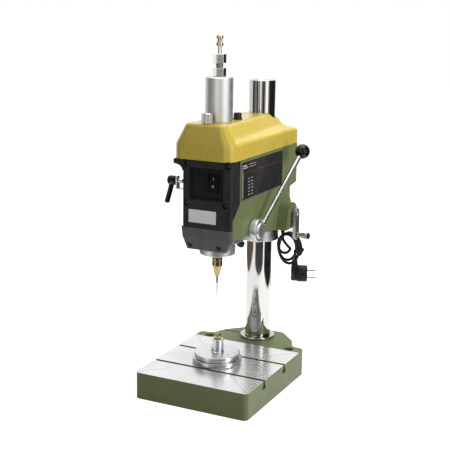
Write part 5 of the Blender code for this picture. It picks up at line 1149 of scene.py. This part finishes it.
# %% Knurl tree
ROD_SIDES = 8
KNURL, KNURL_INPUTS, given, spots, copy = started_tree(
    "knurl", ("Count", "Int"), ("Circle", "Float"), ("Rod", "Float"), ("Height", "Float"))
circle = KNURL.nodes.new("GeometryNodeMeshCircle")
ridge = KNURL.nodes.new("GeometryNodeMeshCylinder")
ridge.inputs["Vertices"].default_value = ROD_SIDES
wire(KNURL, (given, "Count", circle, "Vertices"), (given, "Circle", circle, "Radius"),
     (given, "Rod", ridge, "Radius"), (given, "Height", ridge, "Depth"), (circle, "Mesh", spots, "Mesh"),
     (ridge, "Mesh", copy, "Instance"))


def knurl(name, count, circle, rod, height, place, finish, body, slot):
    made = tree_mesh(name, bpy.data.meshes.new(name), KNURL, KNURL_INPUTS, Count=count, Circle=circle, Rod=rod,
                     Height=height, Finish=finish)
    made.transform(place)
    return place_piece(name, made, finish, body, slot)


print("inputs of the tree:", *KNURL_INPUTS)

# %% [markdown]
# On the cover stand the knurled chrome knob that holds it down, a small black cap and the aluminium water
# cylinder. Each stands a hair above the cover, on a thinner shank or spigot that goes through it.

# %% Knob, cap and water cylinder
SEAT_ROOM = 0.0003
SHANK_RADIUS = 0.0035
SPIGOT_RADIUS = 0.012
RIDGE_ROD = 0.0003
RIDGE_COUNT = 60
seat = cover_high + SEAT_ROOM
at, radius, low, high = spans("cover_nut")
turned("cover_nut", [
    (radius - 0.0012, high, 0.0003), (radius - RIDGE_ROD, high - 0.0009, 0.0003),
    (radius - RIDGE_ROD, seat + 0.0006, 0.0002), (radius - 0.0009, seat, 0.0002), (SHANK_RADIUS, seat, 0),
    (SHANK_RADIUS, low, 0.0004)], at, name="cover_knob")
knurl("cover_knob_ridges", RIDGE_COUNT, radius - RIDGE_ROD, RIDGE_ROD, high - seat - 0.002,
      Matrix.Translation((at[0], at[1], (high + seat) / 2)), chrome, "nut", "column_chrome")
at, radius, low, high = spans("cover_cap")
turned("cover_cap", [
    (radius * 0.78, high, 0.0018), (radius * 0.82, low + 0.0017, 0.0004), (radius, low + 0.0013, 0.0005),
    (radius, low, 0)], at)
at, radius, low, high = spans("feed_cylinder")
turned("feed_cylinder", [
    (radius - 0.0015, high, 0.0006), (radius, high - 0.0015, 0.0006), (radius, seat, 0.0002),
    (SPIGOT_RADIUS, seat, 0), (SPIGOT_RADIUS, low, 0)], at, material=satin, name="water_cylinder",
    steps=FINE_STEPS)
print("cylinder radius:", round(radius, 4))

# %% [markdown]
# Water comes in at the very top: a polished hexagon on the cylinder, a threaded neck, a second hexagon that
# turns on it, and a barbed brass nipple for the hose.

# %% Water fittings
THREAD_TURNS = 6
THREAD_DEPTH = 0.0007
NIPPLE_BORE = 0.0012
for node in ("cylinder_hex", "swivel_hex"):
    soften(node, 0.0005, polished)
at, radius, low, high = spans("thread_neck")
pitch = (high - low) / THREAD_TURNS
thread = [(0, high, 0)]
for winding in range(THREAD_TURNS):
    top = high - winding * pitch
    thread += [(radius - THREAD_DEPTH, top - 0.0001, 0), (radius, top - pitch / 2, 0.0001)]
thread.append((radius - THREAD_DEPTH, low, 0))
turned("thread_neck", thread, at, material=steel)
at, radius, low, high = spans("hose_fitting")
span = high - low
turned("hose_fitting", [
    (NIPPLE_BORE, high, 0.0002), (radius * 0.7, high, 0.0005), (radius, high - span * 0.14, 0.0006),
    (radius, high - span * 0.32, 0.0006), (radius * 0.72, high - span * 0.38, 0.0004),
    (radius * 0.72, low + span * 0.36, 0.0004), (radius, low + span * 0.3, 0.0004), (radius, low, 0.0003),
    (NIPPLE_BORE, low, 0)], at, material=pale_brass, name="hose_nipple", hollow=True)
print("top of the nipple:", round(high, 4))

# %% [markdown]
# The feed lever is a bright rod screwed into a turned hub, with a black ball. The hub has a step and a
# smaller front face, and its turning rings lie round the X axis. The rod and the ball are made along Z and
# then laid on the line from the hub to the ball, which has a flat where the rod enters.

# %% Feed lever
ROD_RADIUS = 0.0036
ROD_START_X = 0.0590
ROD_NUT = 0.0007
HUB_FACE_RADIUS = 0.0125
BALL_FLAT = 0.0105
BALL_STEPS = 24
hub_at, hub_radius, hub_left, hub_right = lying("feed_hub")
hub_step = hub_right - 0.003
turned("feed_hub", [
    (HUB_FACE_RADIUS, hub_right, 0.0008), (HUB_FACE_RADIUS + 0.0005, hub_step, 0.0003),
    (hub_radius - 0.0004, hub_step, 0.0016), (hub_radius, hub_left + 0.0035, 0.0003),
    (hub_radius, hub_left, 0.0006)], hub_at, "X", aluminium_x)
low, high = corners_of("ball_knob")
ball_at = (low + high) / 2
ball_radius = (high.z - low.z) / 2
rod_start = Vector((ROD_START_X, *hub_at[1:]))
along = (ball_at - rod_start).normalized()
rod_from = rod_start + along * hub_radius * 0.75
rod_length = (ball_at - along * (ball_radius - 0.001) - rod_from).length


def along_line(mesh, start, direction):
    mesh.transform(Matrix.Translation(start) @ direction.to_track_quat("Z", "Y").to_matrix().to_4x4())
    return mesh


rod = turned_mesh("lever_rod_fine", [
    (ROD_RADIUS, rod_length, 0), (ROD_RADIUS, 0.006, 0.0003), (ROD_RADIUS + ROD_NUT, 0.005, 0.0003),
    (ROD_RADIUS + ROD_NUT, 0, 0)], steps=48)
stand_in("lever_rod", along_line(rod, rod_from, along), bright_rod)
ball_profile = [(0, ball_radius, 0)]
for step in range(1, BALL_STEPS):
    angle = math.pi * step / BALL_STEPS
    if ball_radius * math.cos(angle) > -BALL_FLAT:
        ball_profile.append((ball_radius * math.sin(angle), ball_radius * math.cos(angle), 0))
ball_profile.append((math.sqrt(ball_radius ** 2 - BALL_FLAT ** 2), -BALL_FLAT, 0))
stand_in("ball_knob", along_line(turned_mesh("ball_knob_fine", ball_profile), ball_at, along))
print("lever length:", round(rod_length, 4))

# %% [markdown]
# The crank that lifts the head is a steel arm with rounded edges, held by a hexagon screw. Its waisted grip
# turns on a pin, which a dark cap closes. The grip's solid has few sides and is widest along Y, so its radius
# is read there.

# %% Height crank
GRIP_BORE = 0.0026
CRANK_AXIS = (0, 0.148, 0.28)
CRANK_BOLT_RADIUS = 0.0045
CRANK_BOLT_TOP = 0.0792
CRANK_BOLT_SEAT = 0.0768
soften("crank_arm", 0.0012, steel)
grip_at, _, grip_left, grip_right = lying("crank_grip")
grip_length = grip_right - grip_left
grip_low, grip_high = corners_of("crank_grip")
grip_radius = (grip_high.y - grip_low.y) / 2
turned("crank_grip", [
    (GRIP_BORE, grip_right, 0), (grip_radius, grip_right, 0.0006),
    (grip_radius * 0.98, grip_right - grip_length * 0.3, 0.003),
    (grip_radius * 0.72, grip_left + grip_length * 0.25, 0.003), (grip_radius * 0.8, grip_left, 0.0005),
    (GRIP_BORE, grip_left, 0)], grip_at, "X", steel, hollow=True)
_, _, end_left, end_right = lying("grip_end_ring")
turned("grip_end_ring", [
    (grip_radius - 0.0006, end_right, 0.0005), (grip_radius, end_left + 0.001, 0.0004),
    (grip_radius, end_left, 0.0002)], grip_at, "X", black, "grip_end_fine")
crank_bolt = turned_mesh("crank_bolt", [
    (CRANK_BOLT_RADIUS - 0.0011, CRANK_BOLT_TOP, 0.0006), (CRANK_BOLT_RADIUS, CRANK_BOLT_TOP - 0.002, 0.0003),
    (CRANK_BOLT_RADIUS, CRANK_BOLT_SEAT, 0)], CRANK_AXIS, "X", 6)
place_piece("crank_bolt", crank_bolt, steel, "crank", "machined_steel")
print("grip length:", round(grip_length, 4))

# %% [markdown]
# Left of the head is the clamp: a bright threaded stud through a bent bracket, with a black moulded lever on
# its end. The lever is a hub, a curved arm and a rounded tip, joined into one.

# %% Clamp lever
STUD_RIDGES = 9
STUD_PITCH = 0.0016
STUD_RIDGE_DEPTH = 0.0005
STUD_THREAD_END = 0.026
CLAMP_HUB_RADIUS = 0.0075
CLAMP_HUB_LENGTH = 0.0079
CLAMP_ARM_RADIUS = 0.0042
CLAMP_ARM_RINGS = 6
stud_at, stud_radius, stud_left, stud_right = lying("clamp_stud")
stud = [(stud_radius, stud_right, 0)]
for ridge in range(STUD_RIDGES):
    x = stud_left + STUD_THREAD_END - ridge * STUD_PITCH
    stud += [(stud_radius, x, 0), (stud_radius - STUD_RIDGE_DEPTH, x - STUD_PITCH / 2, 0)]
stud += [(stud_radius, stud_left + STUD_THREAD_END - STUD_RIDGES * STUD_PITCH, 0),
         (stud_radius, stud_left, 0.0003)]
turned("clamp_stud", stud, stud_at, "X", bright_rod, steps=48)
low, high = corners_of("clamp_lever")
hub = turned_mesh("clamp_hub", [
    (CLAMP_HUB_RADIUS, high.x, 0.0012), (CLAMP_HUB_RADIUS, low.x + CLAMP_HUB_LENGTH, 0.0022)], stud_at, "X", 48)
arm_x = high.x - 0.0065
_, arm_y, arm_z = stud_at
tip_at = (arm_x - 0.009, arm_y, low.z + 0.0045)
arm_route = smooth_route([(arm_x, arm_y, arm_z), (arm_x - 0.002, arm_y, arm_z - 0.010),
                          (arm_x - 0.006, arm_y, arm_z - 0.024), tip_at], 5)
arm = tube_mesh("clamp_arm", arm_route, CLAMP_ARM_RADIUS, CLAMP_ARM_RINGS)
tip = turned_mesh("clamp_tip", [
    (0, 0.0042, 0), (0.0030, 0.0030, 0.001), (0.0044, 0, 0.0012), (0.0036, -0.0032, 0.001), (0, -0.0042, 0)],
    tip_at, steps=32)
stand_in("clamp_lever", combined("clamp_lever_fine", "UNION", hub, arm, tip))
print("clamp arm points:", len(arm_route))

# %% [markdown]
# Under the neck, right of it, sits the small black thumb screw that locks the quill. It lies along its own
# joint's axis, so its place is read from the joint.

# %% Quill lock screw
LOCK_SHANK = 0.0068
LOCK_HEAD = 0.008
LOCK_RADIUS = 0.006
LOCK_PIN_RADIUS = 0.002
LOCK_RIDGES = 22
LOCK_ROD = 0.0005
joint = next(joint for joint in frame["joints"] if joint["name"] == "lock_turn")
outward = Vector(joint["axis"]).normalized()
lock_at = Vector(joint["pos_m"])
lock_top = LOCK_SHANK + LOCK_HEAD
lock_mesh = turned_mesh("lock_screw_fine", [
    (LOCK_RADIUS - 0.0016, lock_top, 0.0004), (LOCK_RADIUS - LOCK_ROD, lock_top - 0.001, 0.0003),
    (LOCK_RADIUS - LOCK_ROD, LOCK_SHANK, 0.0004), (LOCK_PIN_RADIUS, LOCK_SHANK, 0),
    (LOCK_PIN_RADIUS, -LOCK_SHANK / 2, 0)], steps=48)
stand_in("lock_screw", along_line(lock_mesh, lock_at, outward))
upright_to_lock = outward.to_track_quat("Z", "Y").to_matrix().to_4x4()
knurl("lock_ridges", LOCK_RIDGES, LOCK_RADIUS - LOCK_ROD, LOCK_ROD, LOCK_HEAD - 0.002,
      Matrix.Translation(lock_at + outward * (LOCK_SHANK + LOCK_HEAD / 2)) @ upright_to_lock, black, "lock",
      "black_plastic")
print("lock screw at", tuple(round(value, 4) for value in lock_at))

# %% [markdown]
# The hollow drill ends the spindle: a turned brass nozzle with a groove, a short steel tube and the needle
# itself, whose slightly thinner tip is the diamond-coated part.

# %% Nozzle and needle
NOSE_RADIUS = 0.0035
SHOULDER_Z = 0.2126
TUBE_RADIUS = 0.00225
NEEDLE_RADIUS = 0.001
TIP_RADIUS = 0.00085
at, radius, low, high = spans("nozzle_nut")
turned("nozzle_nut", [
    (radius, high, 0.0004), (radius, high - 0.004, 0.0002), (radius - 0.0007, high - 0.0046, 0.0002),
    (radius - 0.0007, high - 0.0056, 0.0002), (radius, high - 0.0062, 0.0002),
    (radius, SHOULDER_Z + 0.0014, 0.0008), (radius - 0.0009, SHOULDER_Z, 0.0006),
    (NOSE_RADIUS + 0.0006, low + 0.002, 0.0008), (NOSE_RADIUS, low, 0.0003)], at, name="nozzle_fine")
_, _, low, high = spans("drill_tube")
turned("drill_tube", [
    (TUBE_RADIUS, high, 0), (TUBE_RADIUS, low + 0.0012, 0.0004), (0.0013, low, 0.0002)], steps=48)
_, _, low, high = spans("drill_needle")
turned("drill_needle", [
    (NEEDLE_RADIUS, high, 0), (NEEDLE_RADIUS, low + 0.0045, 0.0001), (TIP_RADIUS, low + 0.004, 0.0001),
    (TIP_RADIUS, low, 0.0001)], steps=32)
print("needle ends at:", round(low, 4))

# %% [markdown]
# The floor is pale and the room white. Where the camera or a reflection sees them they glow to white, and the
# light that they give back to the machine stays weak, which a Light Path node decides.

# %% Floor and room
FLOOR_SIZE = 6.0
FLOOR_COLOUR = (0.55, 0.55, 0.55)
FLOOR_GLOW = 0.93
ROOM_LIGHT = 0.055
WHITE = (1, 1, 1, 1)


def seen_by(tree, *rays):
    """One for a ray of any of the kinds named, and zero for the others."""
    path = tree.nodes.new("ShaderNodeLightPath")
    seen = path.outputs[rays[0]]
    for ray in rays[1:]:
        either = tree.nodes.new("ShaderNodeMath")
        either.operation = "MAXIMUM"
        tree.links.new(seen, either.inputs[0])
        tree.links.new(path.outputs[ray], either.inputs[1])
        seen = either.outputs[0]
    return seen


pale = finish_named("pale floor", FLOOR_COLOUR, 0.9)
vary_roughness(pale, noise(pale, 0.4), 0.88, 0.92)
tree = pale.node_tree
glow = add(pale, "ShaderNodeEmission", Color=WHITE, Strength=FLOOR_GLOW)
both = add(pale, "ShaderNodeAddShader")
choose = add(pale, "ShaderNodeMixShader")
link(pale, seen_by(tree, "Is Camera Ray", "Is Glossy Ray"), choose.inputs["Fac"])
wire(tree, (shader_of(pale), 0, both, 0), (glow, 0, both, 1), (shader_of(pale), 0, choose, 1),
     (both, 0, choose, 2), (choose, 0, tree.nodes["Material Output"], "Surface"))
shape = bmesh.new()
bmesh.ops.create_grid(shape, x_segments=1, y_segments=1, size=FLOOR_SIZE)
floor = new_object("floor", from_bmesh(shape, "floor"))
floor.data.materials.append(pale)
world = bpy.data.worlds.new("white room")
world.use_nodes = True
bpy.context.scene.world = world
room = world.node_tree
background = room.nodes["Background"]
background.inputs["Color"].default_value = WHITE
strength = room.nodes.new("ShaderNodeMapRange")
strength.inputs["To Min"].default_value = ROOM_LIGHT
strength.inputs["To Max"].default_value = 1.0
room.links.new(seen_by(room, "Is Camera Ray", "Is Glossy Ray", "Is Transmission Ray"), strength.inputs["Value"])
wire(room, (strength, "Result", background, "Strength"))
print("floor size:", 2 * FLOOR_SIZE)

# %% [markdown]
# Chrome shows the studio round it, so its bands are made by what stands there. Upright cards, dark and
# light, stand in a ring round the column, one set low and one high. They are seen only in reflections, and
# glow by a set amount, slightly tinted.

# %% Cards for the reflections
CARD_BACK = 0.01
CARD_HEIGHTS = {"low": (0.002, 0.3), "high": (0.3, 1.0)}
BROWN = (1.0, 0.80, 0.66)
WARM = (1.0, 0.98, 0.89)
COOL = (0.90, 0.91, 1.0)
# Each row: name, first and last bearing in degrees, distance, set, glow, tint.
CARDS = (
    ("low_left", 150, 241, 0.52, "low", 0.16, BROWN), ("low_front", 261, 330, 0.465, "low", 0.08, COOL),
    ("low_right", 341, 425, 0.39, "low", 0.025, WARM), ("low_side", 425, 440, 0.43, "low", 0.38, WARM),
    ("left_1", 203, 227, 0.62, "high", 0.085, WARM), ("left_2", 227, 246, 0.62, "high", 0.29, WARM),
    ("left_3", 246, 257, 0.62, "high", 0.027, WARM), ("left_4", 257, 272, 0.62, "high", 0.63, WARM),
    ("front_1", 272, 286, 0.60, "high", 1.5, WARM), ("front_2", 286, 298, 0.60, "high", 0.29, WARM),
    ("front_3", 298, 314, 0.60, "high", 0.06, BROWN), ("front_4", 314, 323, 0.60, "high", 0.6, WARM),
    ("right_1", 323, 345, 0.60, "high", 1.6, WARM), ("right_2", 345, 358, 0.55, "high", 0.17, COOL),
    ("right_3", 358, 437, 0.46, "high", 0.025, COOL),
)


def card(name, first, last, distance, heights, glow, tint):
    middle = math.radians((first + last) / 2)
    half = distance * math.tan(math.radians((last - first) / 2))
    low, high = CARD_HEIGHTS[heights]
    mesh = sheet_mesh(name, rectangle(-half, low, half, high), "X", distance, distance + CARD_BACK)
    mesh.transform(Matrix.Translation(column_at) @ Matrix.Rotation(middle, 4, "Z"))
    cloth = finish_named(name + " cloth", (0, 0, 0), 1, specular=0)
    vary_roughness(cloth, noise(cloth, 0.1), 0.9, 1)
    shader_of(cloth).inputs["Emission Color"].default_value = (*tint, 1)
    shader_of(cloth).inputs["Emission Strength"].default_value = glow
    mesh.materials.append(cloth)
    made = new_object(name, mesh)
    made.visible_camera = False
    made.visible_shadow = False
    made.visible_diffuse = False


for settings in CARDS:
    card(*settings)
print("cards:", len(CARDS))

# %% [markdown]
# Four large soft lamps light the set. The ones at the right and above also shine in glossy surfaces, as the
# sheen on the cover and the table. The other two only fill, so they are kept out of reflections.

# %% Lamps
AIM = Vector((0, 0.05, 0.25))
# Each row: name, place, width and height, power, shown in reflections.
LAMPS = (
    ("right_softbox", (1.05, -0.2, 0.60), (0.5, 0.6), 6.9, True),
    ("front_softbox", (-0.45, -0.95, 0.66), (0.4, 0.5), 1.4, False),
    ("rear_softbox", (0.2, 1.4, 1.1), (1.0, 0.6), 17, False),
    ("top_softbox", (0, 0.3, 1.9), (1.2, 1.2), 18, True),
)
for name, place, size, power, glossy in LAMPS:
    light = bpy.data.lights.new(name, "AREA")
    light.shape = "RECTANGLE"
    light.size, light.size_y = size
    light.energy = power
    lamp = new_object(name, light)
    lamp.visible_glossy = glossy
    away = (AIM - Vector(place)).to_track_quat("-Z", "Y").to_matrix().to_4x4()
    lamp.matrix_world = Matrix.Translation(place) @ away
bpy.context.scene.view_settings.view_transform = "Standard"
print("lamps:", len(LAMPS))
